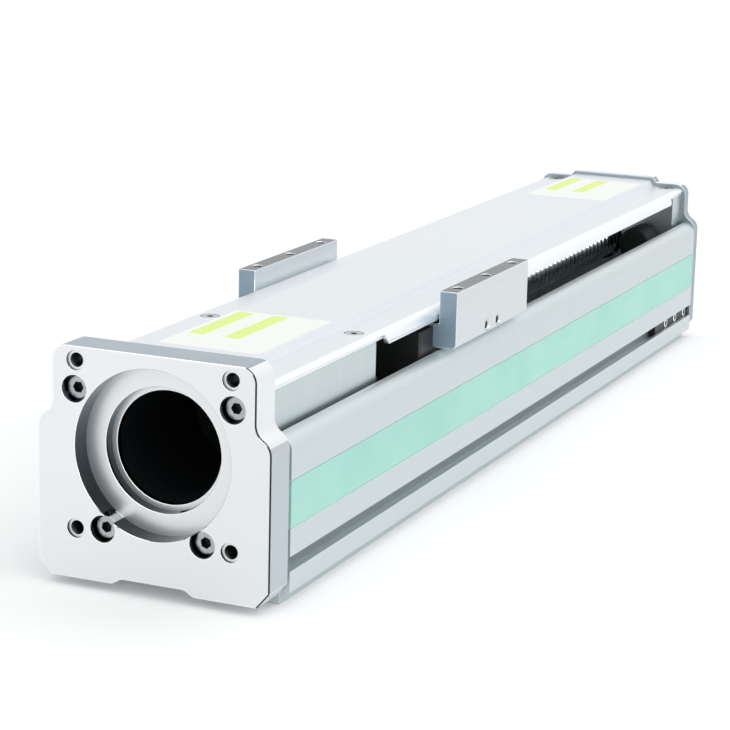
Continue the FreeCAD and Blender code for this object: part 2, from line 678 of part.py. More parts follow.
def plate_screw_places():
    upper = [(f"{side}plate_screw_upper_offset", "axis_height + plate_screw_rise")
             for side in ("", "-")]
    lower = [(f"{side}plate_screw_lower_offset", "axis_height - plate_screw_drop")
             for side in ("", "-")]
    return upper + lower


def motor_flange_screws():
    screws = []
    for index, (across, up) in enumerate(plate_screw_places()):
        screw = socket_screw(f"motor_flange_screw_{index}", "screw_four", "screw_four_length")
        station = f"{FRONT} + plate_counterbore_depth - screw_four_head_height"
        screws.append(aim(screw, (1, 0, 0), station, across, up))
    return group("motor_flange_screws", screws)


def base_extrusion():
    """U-shaped base with side slots, strip grooves and pockets for the guide rails."""
    half = [
        ("relief_half_width", "relief_depth"),
        ("relief_half_width", "0"),
        ("foot_half_width", "0"),
        ("foot_half_width", "rebate_height"),
        ("base_half_width", "rebate_height"),
        ("base_half_width", "slot_height - slot_opening / 2"),
        (LIP_BACK, "slot_height - slot_opening / 2"),
        (LIP_BACK, "slot_height - slot_cavity / 2"),
        (SLOT_BACK, "slot_height - slot_cavity / 2"),
        (SLOT_BACK, "slot_height + slot_cavity / 2"),
        (LIP_BACK, "slot_height + slot_cavity / 2"),
        (LIP_BACK, "slot_height + slot_opening / 2"),
        ("base_half_width", "slot_height + slot_opening / 2"),
        ("base_half_width", STRIP_BOTTOM),
        ("base_half_width - strip_depth", STRIP_BOTTOM),
        ("base_half_width - strip_depth", STRIP_TOP),
        ("base_half_width", STRIP_TOP),
        ("base_half_width", "shoulder_height - shoulder_radius"),
        ("base_half_width - shoulder_radius", "shoulder_height", "shoulder_radius", 1),
        ("channel_half_width", "shoulder_height"),
        ("channel_half_width", "rail_top"),
        ("rail_back", "rail_top"),
        ("rail_back", "rail_seat_height"),
        ("trough_half_width", "rail_seat_height"),
        ("trough_half_width", "floor_height"),
    ]
    body = extruded("base_extrusion", both_sides(half), BASE_START, BASE_LENGTH)
    middle = (BASE_HOLES_PER_SIDE - 1) / 2
    mounting = [(f"({index - middle}) * base_hole_pitch", f"{side}base_hole_offset",
                 "base_hole_diameter")
                for index in range(BASE_HOLES_PER_SIDE) for side in ("", "-")]
    bore_up(body, "0", mounting, "base_hole_depth")
    places = housing_screw_places()
    bore_up(body, "0", [(*place, "housing_counterbore") for place in places],
            "housing_counterbore_depth")
    bore_up(body, "housing_counterbore_depth",
            [(*place, "screw_five_diameter + 2 * thread_gap") for place in places],
            "floor_height - housing_counterbore_depth")
    return body


def housing_screw_places():
    """Screws that hold the two housings down to the base."""
    front = f"({BASE_START} + front_screw_inset)"
    second = f"({HOUSING_END} - front_screw_far_inset)"
    stations = [front, second, f"({BASE_END} - rear_screw_inset)"]
    return [(station, f"{side}housing_screw_offset")
            for station in stations for side in ("", "-")]


def housing_screws():
    screws = []
    for index, (station, across) in enumerate(housing_screw_places()):
        screw = socket_screw(f"housing_screw_{index}", "screw_five", "screw_five_length")
        height = "housing_counterbore_depth - screw_five_head_height"
        screws.append(aim(screw, (0, 0, 1), station, across, height))
    return group("housing_screws", screws)


def guide_rail(label, side):
    """Hardened rail with two ball grooves, let into one side of the base."""
    def place(across, up, *bend):
        return (f"{side}({across})", up, *bend)
    turn = 1 if side else -1
    corners = [place("rail_face", "rail_seat_height")]
    for height in ("lower_groove_height", UPPER_GROOVE):
        corners.append(place("rail_face", f"{height} - {HALF_GROOVE_IN_RAIL}"))
        corners.append(place("rail_face", f"{height} + {HALF_GROOVE_IN_RAIL}",
                             "groove_radius", -turn))
    corners += [
        place("rail_face", "rail_top"),
        place("rail_back", "rail_top"),
        place("rail_back", "rail_seat_height"),
    ]
    return extruded(label, corners, RAIL_START, RAIL_LENGTH)


def side_strip(label, side):
    """Coloured strip, flush in the groove of one side of the base."""
    corners = [
        (f"{side}(base_half_width - strip_depth)", f"{STRIP_BOTTOM} + strip_gap"),
        (f"{side}base_half_width", f"{STRIP_BOTTOM} + strip_gap"),
        (f"{side}base_half_width", f"{STRIP_TOP} - strip_gap"),
        (f"{side}(base_half_width - strip_depth)", f"{STRIP_TOP} - strip_gap"),
    ]
    return extruded(label, corners, BASE_START, BASE_LENGTH)


def housing_half():
    return [
        ("housing_lower_half_width", "floor_height"),
        ("housing_lower_half_width", "housing_neck_height"),
        ("housing_upper_half_width", "housing_neck_height"),
        ("housing_upper_half_width", "housing_top - cover_inner_radius"),
        ("housing_upper_half_width - cover_inner_radius", "housing_top",
         "cover_inner_radius", 1),
    ]


def front_housing():
    """Block that carries the coupling's room and the front bearings."""
    body = extruded("front_housing", both_sides(housing_half()), PLATE_BACK,
                    "front_housing_length")
    centre = ("0", "axis_height")
    retainer_start = f"({FRONT_BEARING_START} - retainer_length)"
    bore(body, PLATE_BACK, [(*centre, "cavity_diameter")],
         f"{FRONT_BEARING_START} - {PLATE_BACK}")
    bore(body, FRONT_BEARING_START, [(*centre, "front_bearing_diameter")], FRONT_BEARING_STACK)
    bore(body, FRONT_BEARING_END, [(*centre, "front_throat_diameter")], "front_bearing_bore_end")
    shank = "screw_four_diameter + 2 * thread_gap"
    bore(body, PLATE_BACK, [(*place, shank) for place in plate_screw_places()],
         f"{FRONT} + plate_counterbore_depth + screw_four_length - {PLATE_BACK} + hole_run_out")
    drill_housing(body, housing_screw_places()[:4], FRONT_COVER_SCREWS)
    return body


def drill_housing(body, screw_places, cover_station):
    """Threads for the screws from under the base and for the cover screws."""
    shank = "screw_five_diameter + 2 * thread_gap"
    reach = "housing_counterbore_depth + screw_five_length + hole_run_out - floor_height"
    bore_up(body, "floor_height", [(*place, shank) for place in screw_places], reach)
    cover_shank = "screw_three_diameter + 2 * thread_gap"
    holes = [(cover_station, f"{side}cover_screw_offset", cover_shank) for side in ("", "-")]
    bore_down(body, "housing_top", holes,
              "cover_screw_length - (cover_height - housing_top) + hole_run_out")


def rear_housing():
    """Block that carries the rear bearing."""
    body = extruded("rear_housing", both_sides(housing_half()), REAR_HOUSING_START,
                    "rear_housing_length")
    centre = ("0", "axis_height")
    bore(body, REAR_HOUSING_START, [(*centre, "rear_throat_diameter")], "rear_wall")
    bore(body, REAR_BEARING_START, [(*centre, "rear_bearing_diameter")],
         "rear_housing_length - rear_wall")
    depth = "rear_screw_length - rear_plate_thickness + hole_run_out"
    shank = "screw_four_diameter + 2 * thread_gap"
    bore(body, f"{BASE_END} - ({depth})", [(*place, shank) for place in rear_screw_places()],
         depth)
    drill_housing(body, housing_screw_places()[4:], REAR_COVER_SCREWS)
    return body


def rear_screw_places():
    return [(f"{side}rear_screw_offset", up)
            for side in ("", "-") for up in ("rear_screw_high", "rear_screw_low")]


def rear_plate():
    """Plate that closes the rear end and follows the cover's outline."""
    ridge = [
        ("rear_ridge_half_width + ridge_run", "rear_plate_top"),
        ("rear_ridge_half_width", "rear_plate_top + rear_ridge_rise"),
    ]
    half = plate_half(rounded_top("rear_plate_top") + ridge)
    body = extruded("rear_plate", both_sides(half), BASE_END, "rear_plate_thickness")
    places = rear_screw_places()
    shank = "screw_four_diameter + 2 * thread_gap"
    bore(body, BASE_END, [(*place, shank) for place in places], "rear_plate_thickness")
    bore(body, f"{REAR} - rear_screw_cone",
         [(*place, "rear_screw_head + 2 * head_gap") for place in places], "rear_screw_cone")
    return body


def rear_plate_screws():
    screws = []
    for index, (across, up) in enumerate(rear_screw_places()):
        screw = countersunk_screw(f"rear_plate_screw_{index}", "screw_four", "rear_screw")
        screws.append(aim(screw, (-1, 0, 0), REAR, across, up))
    return group("rear_plate_screws", screws)


def top_cover():
    """Sheet cover with a raised middle, rolled edges and lips cut short over the housings."""
    slope = "sqrt(ridge_run ^ 2 + ridge_rise ^ 2)"
    tangent = f"(ridge_bend * ridge_rise / ({slope} + ridge_run))"
    back = f"({tangent} * ridge_run / {slope})"
    down = f"({tangent} * ridge_rise / {slope})"
    foot = "(ridge_half_width + ridge_run)"
    ridge_top = "(cover_height + ridge_rise)"
    underside = "(cover_height - cover_sheet)"
    lip_back = "(plate_upper_half_width - lip_thickness)"
    half = [
        ("ridge_half_width - ridge_bend", f"{ridge_top} - cover_sheet"),
        (f"{foot} - ridge_bend", underside),
        (f"{lip_back} - cover_inner_radius", underside),
        (lip_back, f"{underside} - cover_inner_radius", "cover_inner_radius", -1),
        (lip_back, "lip_bottom"),
        ("plate_upper_half_width", "lip_bottom"),
        ("plate_upper_half_width", "cover_height - cover_edge_radius"),
        ("plate_upper_half_width - cover_edge_radius", "cover_height", "cover_edge_radius", 1),
        (f"{foot} + {tangent}", "cover_height"),
        (f"{foot} - {back}", f"cover_height + {down}", "ridge_bend", -1),
        (f"ridge_half_width + {back}", f"{ridge_top} - {down}"),
        (f"ridge_half_width - {tangent}", ridge_top, "ridge_bend", 1),
    ]
    start = f"({PLATE_BACK} + cover_front_gap)"
    end = f"({BASE_END} - cover_rear_gap)"
    body = extruded("top_cover", both_sides(half), start, f"{end} - {start}")
    for side in ("", "-"):
        cut_lip(body, start, f"{HOUSING_END} + front_notch_reach", side, -1)
        cut_lip(body, end, f"{REAR_HOUSING_START} - rear_notch_reach", side, 1)
    places = cover_screw_places()
    bore_up(body, underside,
            [(*place, "screw_three_diameter + 2 * thread_gap") for place in places],
            "cover_sheet")
    bore_down(body, "cover_height",
              [(*place, "cover_screw_head + 2 * head_gap") for place in places],
              "cover_screw_cone")
    return body


def cut_lip(body, outer, inner, side, turn):
    """Cut one lip short from an end of the cover, with both corners of the step rounded."""
    sketch = new_sketch(body, "XZ_Plane", f"{side}plate_upper_half_width")
    out, back = ("-", "+") if turn < 0 else ("+", "-")
    below = "(lip_bottom - cover_sheet)"
    draw_outline(sketch, [
        (outer, below),
        (f"{inner} {back} lip_corner_radius", below),
        (f"{inner} {back} lip_corner_radius", "lip_bottom"),
        (inner, "lip_bottom + lip_corner_radius", "lip_corner_radius", turn),
        (inner, "notch_height - notch_radius"),
        (f"{inner} {out} notch_radius", "notch_height", "notch_radius", -turn),
        (outer, "notch_height"),
    ])
    pocket(body, sketch, "plate_upper_half_width - housing_upper_half_width", bool(side))


def cover_screw_places():
    return [(station, f"{side}cover_screw_offset")
            for station in (FRONT_COVER_SCREWS, REAR_COVER_SCREWS) for side in ("", "-")]


def cover_screws():
    screws = []
    for index, (station, across) in enumerate(cover_screw_places()):
        screw = countersunk_screw(f"cover_screw_{index}", "screw_three", "cover_screw")
        screws.append(aim(screw, (0, 0, -1), station, across, "cover_height"))
    return group("cover_screws", screws)


def ball_screw():
    """Stepped shaft; its thread form lies within the outside diameter."""
    return turned("ball_screw", [
        (DRIVE_END, "0"),
        (REAR_JOURNAL_END, "0"),
        (REAR_JOURNAL_END, "rear_journal_diameter / 2 - rear_journal_chamfer"),
        (f"{REAR_JOURNAL_END} - rear_journal_chamfer", "rear_journal_diameter / 2"),
        (REAR_BEARING_START, "rear_journal_diameter / 2"),
        (REAR_BEARING_START, "screw_diameter / 2"),
        (FRONT_BEARING_END, "screw_diameter / 2"),
        (FRONT_BEARING_END, "front_journal_diameter / 2"),
        (LOCK_NUT_START, "front_journal_diameter / 2"),
        (LOCK_NUT_START, "drive_journal_diameter / 2"),
        (DRIVE_END, "drive_journal_diameter / 2"),
    ])


def bearing(name, start, width, inner, outer):
    """Outer ring, inner ring and balls of one ball bearing round the screw axis."""
    middle = f"{start} + {width} / 2"
    end = f"{start} + {width}"
    pitch = f"(({inner} + {outer}) / 4)"
    half = "sqrt(raceway_radius ^ 2 - race_gap ^ 2)"

    def ring(label, smooth, grooved, turn):
        return turned(label, [
            (start, smooth),
            (start, grooved),
            (f"{middle} - {half}", grooved),
            (f"{middle} + {half}", grooved, "raceway_radius", turn),
            (end, grooved),
            (end, smooth),
        ])

    angles = [CIRCLE * index / BEARING_BALLS for index in range(BEARING_BALLS)]
    places = [(middle, f"{pitch} * cos({angle})", f"axis_height + {pitch} * sin({angle})")
              for angle in angles]
    return [
        ring(f"{name}_outer_ring", f"{outer} / 2", f"{pitch} + race_gap", -1),
        ring(f"{name}_inner_ring", f"{inner} / 2", f"{pitch} - race_gap", 1),
        balls(f"{name}_balls", places, "bearing_ball_radius"),
    ]


def front_bearings():
    pieces = []
    for index, name in enumerate(FRONT_BEARING_NAMES):
        start = f"({FRONT_BEARING_START} + {index} * front_bearing_width)"
        pieces += bearing(name, start, "front_bearing_width", "front_journal_diameter",
                          "front_bearing_diameter")
    return pieces


def rear_bearing():
    return bearing("rear_bearing", REAR_BEARING_START, "rear_bearing_width",
                   "rear_journal_diameter", "rear_bearing_diameter")


def bearing_retainer():
    """Threaded ring that presses the front bearings home, with two spanner slots."""
    start = f"({FRONT_BEARING_START} - retainer_length)"
    body = turned("bearing_retainer", [
        (start, "retainer_bore / 2"),
        (FRONT_BEARING_START, "retainer_bore / 2"),
        (FRONT_BEARING_START, "cavity_diameter / 2"),
        (start, "cavity_diameter / 2"),
    ])
    sketch = new_sketch(body, "YZ_Plane", start)
    reach = "cavity_diameter"
    draw_outline(sketch, rectangle(f"-{reach}", "axis_height - spanner_slot_width / 2",
                                   reach, "axis_height + spanner_slot_width / 2"))
    pocket(body, sketch, "spanner_slot_depth", True)
    return body


def lock_nut():
    """Slotted round nut on the front journal."""
    bore_radius, outside = "front_journal_diameter / 2", "lock_nut_diameter / 2"
    body = turned("lock_nut", [
        (LOCK_NUT_START, bore_radius),
        (FRONT_BEARING_START, bore_radius),
        (FRONT_BEARING_START, outside),
        (LOCK_NUT_START, outside),
    ])
    sketch = new_sketch(body, "YZ_Plane", LOCK_NUT_START)
    half, inner = "lock_nut_slot / 2", f"{outside} - lock_nut_slot_depth"
    for side in (1, -1):
        level = f"axis_height + {side} * ({inner})"
        beyond = f"axis_height + {side} * lock_nut_diameter"
        draw_outline(sketch, rectangle(f"-{half}", level, half, beyond))
        draw_outline(sketch, rectangle(f"{side} * ({inner})", f"axis_height - {half}",
                                       f"{side} * lock_nut_diameter", f"axis_height + {half}"))
    pocket(body, sketch, "lock_nut_length", True)
    return body


def retaining_ring():
    """Open ring behind the rear bearing."""
    start = f"({REAR_BEARING_END} + clip_gap)"
    body = turned("retaining_ring", [
        (start, "rear_journal_diameter / 2"),
        (f"{start} + clip_thickness", "rear_journal_diameter / 2"),
        (f"{start} + clip_thickness", "clip_diameter / 2"),
        (start, "clip_diameter / 2"),
    ])
    sketch = new_sketch(body, "YZ_Plane", start)
    draw_outline(sketch, rectangle("-clip_mouth / 2", "axis_height - clip_diameter",
                                   "clip_mouth / 2", "axis_height"))
    pocket(body, sketch, "clip_thickness", True)
    return body


def bumpers(label, start, free_end):
    """Pair of rubber stops on the face of a housing, rounded at their free ends."""
    body = new_body(label)
    sketch = new_sketch(body, "YZ_Plane", start)
    for side in ("", "-"):
        draw_circle(sketch, f"{side}bumper_offset", "bumper_height", "bumper_diameter")
    stops = pad(body, sketch, "bumper_length")
    document.recompute()
    end = number(free_end)
    edges = [f"Edge{index}" for index, edge in enumerate(stops.Shape.Edges, start=1)
             if max(abs(edge.BoundBox.XMin - end), abs(edge.BoundBox.XMax - end)) < TOUCHING]
    nose = body.newObject("PartDesign::Fillet", f"{label}_nose")
    nose.Base = (stops, edges)
    bind(nose, "Radius", "bumper_nose_radius")
    document.recompute()
    return body


def block_groove(height):
    """Ball groove in the right flank of the carriage."""
    return [
        ("block_half_width", f"{height} - {HALF_GROOVE_IN_BLOCK}"),
        ("block_half_width", f"{height} + {HALF_GROOVE_IN_BLOCK}", "groove_radius", -1),
    ]


def carriage_block():
    """Steel block that runs between the rails and reaches out and up past the cover."""
    half = [
        ("block_half_width - block_chamfer_width", "block_bottom"),
        ("block_half_width", "block_bottom + block_chamfer_height"),
        *block_groove("lower_groove_height"),
        *block_groove(UPPER_GROOVE),
        ("block_half_width", "neck_bottom"),
        ("neck_half_width", "neck_bottom"),
        ("neck_half_width", "arm_bottom"),
        ("carriage_half_width - arm_radius", "arm_bottom"),
        ("carriage_half_width", "arm_bottom + arm_radius", "arm_radius", 1),
        ("carriage_half_width", "carriage_top"),
        ("upright_half_gap", "carriage_top"),
        ("upright_half_gap", "deck_height"),
    ]
    body = extruded("carriage_block", both_sides(half), CARRIAGE_START, "carriage_length")
    bore(body, CARRIAGE_START, [("0", "axis_height", "nut_diameter")], "carriage_length")
    thread = "screw_three_diameter + 2 * thread_gap"
    bore(body, CARRIAGE_START, [(*place, thread) for place in nut_screw_places()],
         "screw_three_length + screw_three_head_height - nut_flange_thickness + hole_run_out")
    cap_thread_depth = "screw_three_length + screw_three_head_height - cap_thickness + hole_run_out"
    for start in (CARRIAGE_START, f"{CARRIAGE_END} - ({cap_thread_depth})"):
        bore(body, start, [(*place, thread) for place in cap_screw_places()], cap_thread_depth)
    top_holes = [(f"{CARRIAGE_MIDDLE} + {step} * top_hole_pitch", f"{side}top_hole_offset",
                  "top_hole_diameter") for step in (-1, 0, 1) for side in ("", "-")]
    bore_down(body, "carriage_top", top_holes, "top_hole_depth")
    for side in ("", "-"):
        sketch = new_sketch(body, "XZ_Plane", f"{side}carriage_half_width")
        for step in ("-", "+"):
            station = f"{CARRIAGE_MIDDLE} {step} side_hole_pitch / 2"
            draw_circle(sketch, station, "side_hole_height", "side_hole_diameter")
        pocket(body, sketch, "side_hole_depth", bool(side))
    return body


def nut_screw_places():
    return four_corners("nut_screw_offset", "nut_screw_rise")


def cap_screw_places():
    upper = [(f"{side}cap_screw_offset", "cap_screw_height") for side in ("", "-")]
    lower = [(f"{side}cap_screw_low_offset", "cap_screw_low_height") for side in ("", "-")]
    return upper + lower


def cap_half():
    """Right half of the end caps and end seals, just inside the block's outline."""
    return [
        ("block_half_width - block_chamfer_width", "block_bottom + cap_inset"),
        ("block_half_width - cap_inset", "block_bottom + block_chamfer_height"),
        ("block_half_width - cap_inset", "neck_bottom + cap_inset"),
        ("neck_half_width - cap_inset", "neck_bottom + cap_inset"),
        ("neck_half_width - cap_inset", "cap_top"),
    ]


def flange_outline(gap):
    """Round flange with two flats, larger by gap all round."""
    radius = f"(nut_flange_diameter / 2 + {gap})"
    flat = f"(nut_flange_half_height + {gap})"
    across = f"sqrt({radius} ^ 2 - {flat} ^ 2)"
    return [
        (across, f"axis_height - {flat}"),
        (across, f"axis_height + {flat}", radius, 1),
        (f"-{across}", f"axis_height + {flat}"),
        (f"-{across}", f"axis_height - {flat}", radius, 1),
    ]


def end_cap(label, start, head_start):
    """Plastic cap that turns the balls round; its screw heads lie flush."""
    body = extruded(label, both_sides(cap_half()), start, "cap_thickness")
    bore(body, start, [("0", "axis_height", "cap_bore")], "cap_thickness")
    thread = "screw_three_diameter + 2 * thread_gap"
    bore(body, start, [(*place, thread) for place in cap_screw_places()], "cap_thickness")
    head = "screw_three_head + 2 * head_gap"
    bore(body, head_start, [(*place, head) for place in cap_screw_places()],
         "screw_three_head_height")
    return body


def end_cap_front():
    """Front cap, with the pocket for the nut's flange and threads for the nipples."""
    start = f"({CARRIAGE_START} - cap_thickness)"
    body = end_cap("end_cap_front", start, start)
    sketch = new_sketch(body, "YZ_Plane", f"{CARRIAGE_START} - nut_flange_thickness")
    draw_outline(sketch, flange_outline("nut_pocket_gap"))
    pocket(body, sketch, "nut_flange_thickness", True)
    bore(body, start, [(*place, "nipple_diameter") for place in nipple_places()],
         "cap_thickness / 2")
    return body


def end_cap_rear():
    head_start = f"({CARRIAGE_END} + cap_thickness - screw_three_head_height)"
    return end_cap("end_cap_rear", CARRIAGE_END, head_start)


def end_seal(label, start, holes):
    body = extruded(label, both_sides(cap_half()), start, "seal_thickness")
    bore(body, start, [("0", "axis_height", "cap_bore"), *holes], "seal_thickness")
    return body


def end_seal_front():
    start = f"({CARRIAGE_START} - cap_thickness - seal_thickness)"
    holes = [(*place, "nipple_diameter") for place in nipple_places()]
    return end_seal("end_seal_front", start, holes)


def end_seal_rear():
    return end_seal("end_seal_rear", f"({CARRIAGE_END} + cap_thickness)", [])


def end_cap_screws():
    screws = []
    ends = ((f"{CARRIAGE_START} - cap_thickness", 1), (f"{CARRIAGE_END} + cap_thickness", -1))
    for station, direction in ends:
        for across, up in cap_screw_places():
            name = f"end_cap_screw_{len(screws)}"
            screw = socket_screw(name, "screw_three", "screw_three_length")
            screws.append(aim(screw, (direction, 0, 0), station, across, up))
    return group("end_cap_screws", screws)


def ball_nut():
    """Flanged nut; its screws are sunk in the flange."""
    start = f"({CARRIAGE_START} - nut_flange_thickness)"
    body = extruded("ball_nut", flange_outline("0"), start, "nut_flange_thickness")
    sketch = new_sketch(body, "YZ_Plane", CARRIAGE_START)
    draw_circle(sketch, "0", "axis_height", "nut_diameter")
    pad(body, sketch, "nut_length - nut_flange_thickness")
    document.recompute()
    bore(body, start, [("0", "axis_height", "nut_bore")], "nut_length")
    thread = "screw_three_diameter + 2 * thread_gap"
    head = "screw_three_head + 2 * head_gap"
    bore(body, start, [(*place, thread) for place in nut_screw_places()],
         "nut_flange_thickness")
    bore(body, start, [(*place, head) for place in nut_screw_places()],
         "screw_three_head_height")
    return body


def ball_nut_screws():
    screws = []
    station = f"{CARRIAGE_START} - nut_flange_thickness"
    for index, (across, up) in enumerate(nut_screw_places()):
        screw = socket_screw(f"ball_nut_screw_{index}", "screw_three", "screw_three_length")
        screws.append(aim(screw, (1, 0, 0), station, across, up))
    return group("ball_nut_screws", screws)


def carriage_balls():
    """Four rows of balls between the carriage and its rails."""
    middle = (GUIDE_BALLS_PER_ROW - 1) / 2
    places = [(f"{CARRIAGE_MIDDLE} + ({index - middle}) * guide_ball_pitch",
               f"{side}groove_offset", height)
              for side in ("", "-") for height in ("lower_groove_height", UPPER_GROOVE)
              for index in range(GUIDE_BALLS_PER_ROW)]
    return balls("carriage_balls", places, "guide_ball_radius")


def nipple_places():
    return [(f"{side}nipple_offset", "nipple_height") for side in ("", "-")]


def grease_nipples():
    """Two nipples with hexagon collars, in front of the front seal."""
    nipples = []
    seal_face = f"{CARRIAGE_START} - cap_thickness - seal_thickness"
    for index, (across, up) in enumerate(nipple_places()):
        name = f"grease_nipple_{index}"
        stem = cylinder(f"{name}_stem", "nipple_diameter / 2",
                        "nipple_length / 2 + seal_thickness + cap_thickness / 2")
        collar = document.addObject("Part::Prism", f"{name}_collar")
        collar.Polygon = 6
        bind(collar, "Circumradius", "nipple_collar_radius")
        bind(collar, "Height", "nipple_length / 2")
        tip = document.addObject("Part::Cone", f"{name}_tip")
        bind(tip, "Radius1", "nipple_tip_radius")
        bind(tip, "Radius2", "nipple_neck_radius")
        bind(tip, "Height", "nipple_length / 2")
        bind(tip, "Placement.Base.z", "-nipple_length / 2")
        solid = boolean("Fuse", f"{name}_solid", boolean("Fuse", f"{name}_root", stem, collar), tip)
        nipples.append(aim(solid, (1, 0, 0), f"{seal_face} - nipple_length / 2", across, up))
    return group("grease_nipples", nipples)


def slot_screw_stations():
    last = f"({REAR} - slot_bar_inset - slot_screw_inset)"
    return [f"({last} - {index} * slot_screw_pitch)" for index in range(SLOT_SCREWS)]


def slot_nut_bar():
    """Threaded steel bar held behind the lips of the near slot."""
    end = f"({REAR} - slot_bar_inset)"
    face = f"({LIP_BACK} - slot_bar_play)"
    corners = rectangle(f"-{face}", "slot_height - slot_bar_width / 2",
                        f"-({face} - slot_bar_depth)", "slot_height + slot_bar_width / 2")
    body = extruded("slot_nut_bar", corners, f"{end} - slot_bar_length", "slot_bar_length")
    sketch = new_sketch(body, "XZ_Plane", face)
    for station in slot_screw_stations():
        draw_circle(sketch, station, "slot_height", "slot_screw_diameter + 2 * thread_gap")
    pocket(body, sketch, "slot_bar_depth", False)
    return body


def slot_bar_screws():
    screws = []
    outer = f"-({LIP_BACK} - slot_bar_play - slot_bar_depth + slot_screw_length)"
    for index, station in enumerate(slot_screw_stations()):
        name = f"slot_bar_screw_{index}"
        shank = cylinder(f"{name}_shank", "slot_screw_diameter / 2", "slot_screw_length")
        screw = key_hole(name, shank, "slot_screw_socket", "slot_screw_length / 2")
        screws.append(aim(screw, (0, 1, 0), station, outer, "slot_height"))
    return group("slot_bar_screws", screws)


def make_parts():
    """Every separate piece of the stage, in the order of assembly."""
    single = (
        base_extrusion, housing_screws, front_housing, rear_housing, motor_flange,
        motor_flange_screws, rear_plate, rear_plate_screws, top_cover, cover_screws,
        ball_screw, bearing_retainer, lock_nut, retaining_ring, carriage_block, carriage_balls,
        end_cap_front, end_cap_rear, end_cap_screws, end_seal_front, end_seal_rear,
        ball_nut, ball_nut_screws, grease_nipples, slot_nut_bar, slot_bar_screws,
    )
    pieces = [maker() for maker in single]
    pieces += front_bearings() + rear_bearing()
    for name, side in (("near", "-"), ("far", "")):
        pieces.append(guide_rail(f"guide_rail_{name}", side))
        pieces.append(side_strip(f"side_strip_{name}", side))
    pieces.append(bumpers("front_bumpers", HOUSING_END, f"{HOUSING_END} + bumper_length"))
    rear_stops = f"({REAR_HOUSING_START} - bumper_length)"
    pieces.append(bumpers("rear_bumpers", rear_stops, rear_stops))
    document.recompute()
    return pieces


def check(pieces):
    for item in document.Objects:
        if any(word in item.State for word in ("Invalid", "Error")):
            raise RuntimeError(f"{item.Label} failed")
    for piece in pieces:
        if piece.Shape.isNull() or not piece.Shape.isValid():
            raise RuntimeError(f"{piece.Label} has no valid shape")


def write(pieces):
    os.makedirs("parts", exist_ok=True)
    for piece in pieces:
        piece.Shape.exportStep(os.path.join("parts", f"{piece.Label}.step"))
        box = piece.Shape.BoundBox
        print(f"{piece.Label}: {len(piece.Shape.Solids)} solids, "
              f"{box.XLength:.1f} x {box.YLength:.1f} x {box.ZLength:.1f}")


pieces = make_parts()
check(pieces)
write(pieces)
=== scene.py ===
import math

import bmesh
import bpy
from bpy.props import FloatProperty, FloatVectorProperty, PointerProperty
from mathutils import Matrix, Vector


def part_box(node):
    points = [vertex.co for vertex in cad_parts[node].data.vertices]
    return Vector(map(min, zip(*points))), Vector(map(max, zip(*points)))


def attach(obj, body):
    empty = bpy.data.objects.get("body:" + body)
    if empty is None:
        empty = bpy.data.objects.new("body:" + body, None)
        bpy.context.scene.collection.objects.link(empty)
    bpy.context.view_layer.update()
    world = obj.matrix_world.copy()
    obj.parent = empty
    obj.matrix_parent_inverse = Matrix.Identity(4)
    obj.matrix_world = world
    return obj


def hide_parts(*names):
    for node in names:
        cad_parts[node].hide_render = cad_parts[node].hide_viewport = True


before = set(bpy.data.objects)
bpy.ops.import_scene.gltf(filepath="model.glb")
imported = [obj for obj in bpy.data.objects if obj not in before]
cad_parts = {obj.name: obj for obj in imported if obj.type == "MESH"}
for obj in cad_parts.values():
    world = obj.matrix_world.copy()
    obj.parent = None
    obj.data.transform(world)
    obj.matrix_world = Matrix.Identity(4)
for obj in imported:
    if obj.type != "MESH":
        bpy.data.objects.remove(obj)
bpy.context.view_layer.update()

bl_info = {
    "name": "Linear stage finish",
    "version": (1, 0, 0),
    "blender": (4, 5, 0),
    "location": "3D View > Sidebar > Linear stage",
    "description": "Finishes and fine parts of a screw-driven linear stage",
    "category": "Object",
}

MM = 0.001
WELD = 0.002 * MM
FLAT = math.radians(0.4)
SMOOTH = math.radians(42)
SHARP = math.radians(32)
UP = Vector((0, 0, 1))
AHEAD = Vector((1, 0, 0))
SIDES = (-1, 1)
BEARINGS = ("front_bearing_one", "front_bearing_two", "rear_bearing")

# How far off its wall a face is still taken for part of it
TOUCH = 0.2 * MM

# Shares of a normal: a face looks along a direction, mostly or a little that way, or across it,
# and a face of the sheet is level or bent
ALONG = 0.9
MOSTLY = 0.5
TURNED = 0.2
ACROSS = 0.3
LEVEL = 0.95
BENT = 0.25

# How much lighter a metal is along its worn edges, and how closely its lines of grain stand
# along X, Y and Z
WORN = 1.15
ALONG_X = (14.0, 2600.0, 2600.0)
ALONG_Z = (1500.0, 1500.0, 25.0)
ACROSS_X = (3000.0, 60.0, 60.0)
EVEN = (400.0, 400.0, 400.0)

# The photograph's camera, found from standard sizes on the stage, and the ways to the lamps
CAMERA_PLACE = Vector((-777.57, -313.79, 224.38)) * MM
CAMERA_RIGHT = Vector((0.40558, -0.91375, 0.02359))
CAMERA_DOWN = Vector((-0.2022, -0.11486, -0.97259))
CAMERA_AHEAD = Vector((0.89141, 0.38969, -0.23134))
LAMP_FROM = Vector((-0.1, -0.35, 0.93))
SIDE_LAMP_FROM = Vector((-0.15, -0.97, 0.21))
SENSOR_WIDTH = 36.0
FLOOR_SIZE = 8
FLOOR_MIDDLE = Vector((3.4, 3.81, -0.05 * MM))

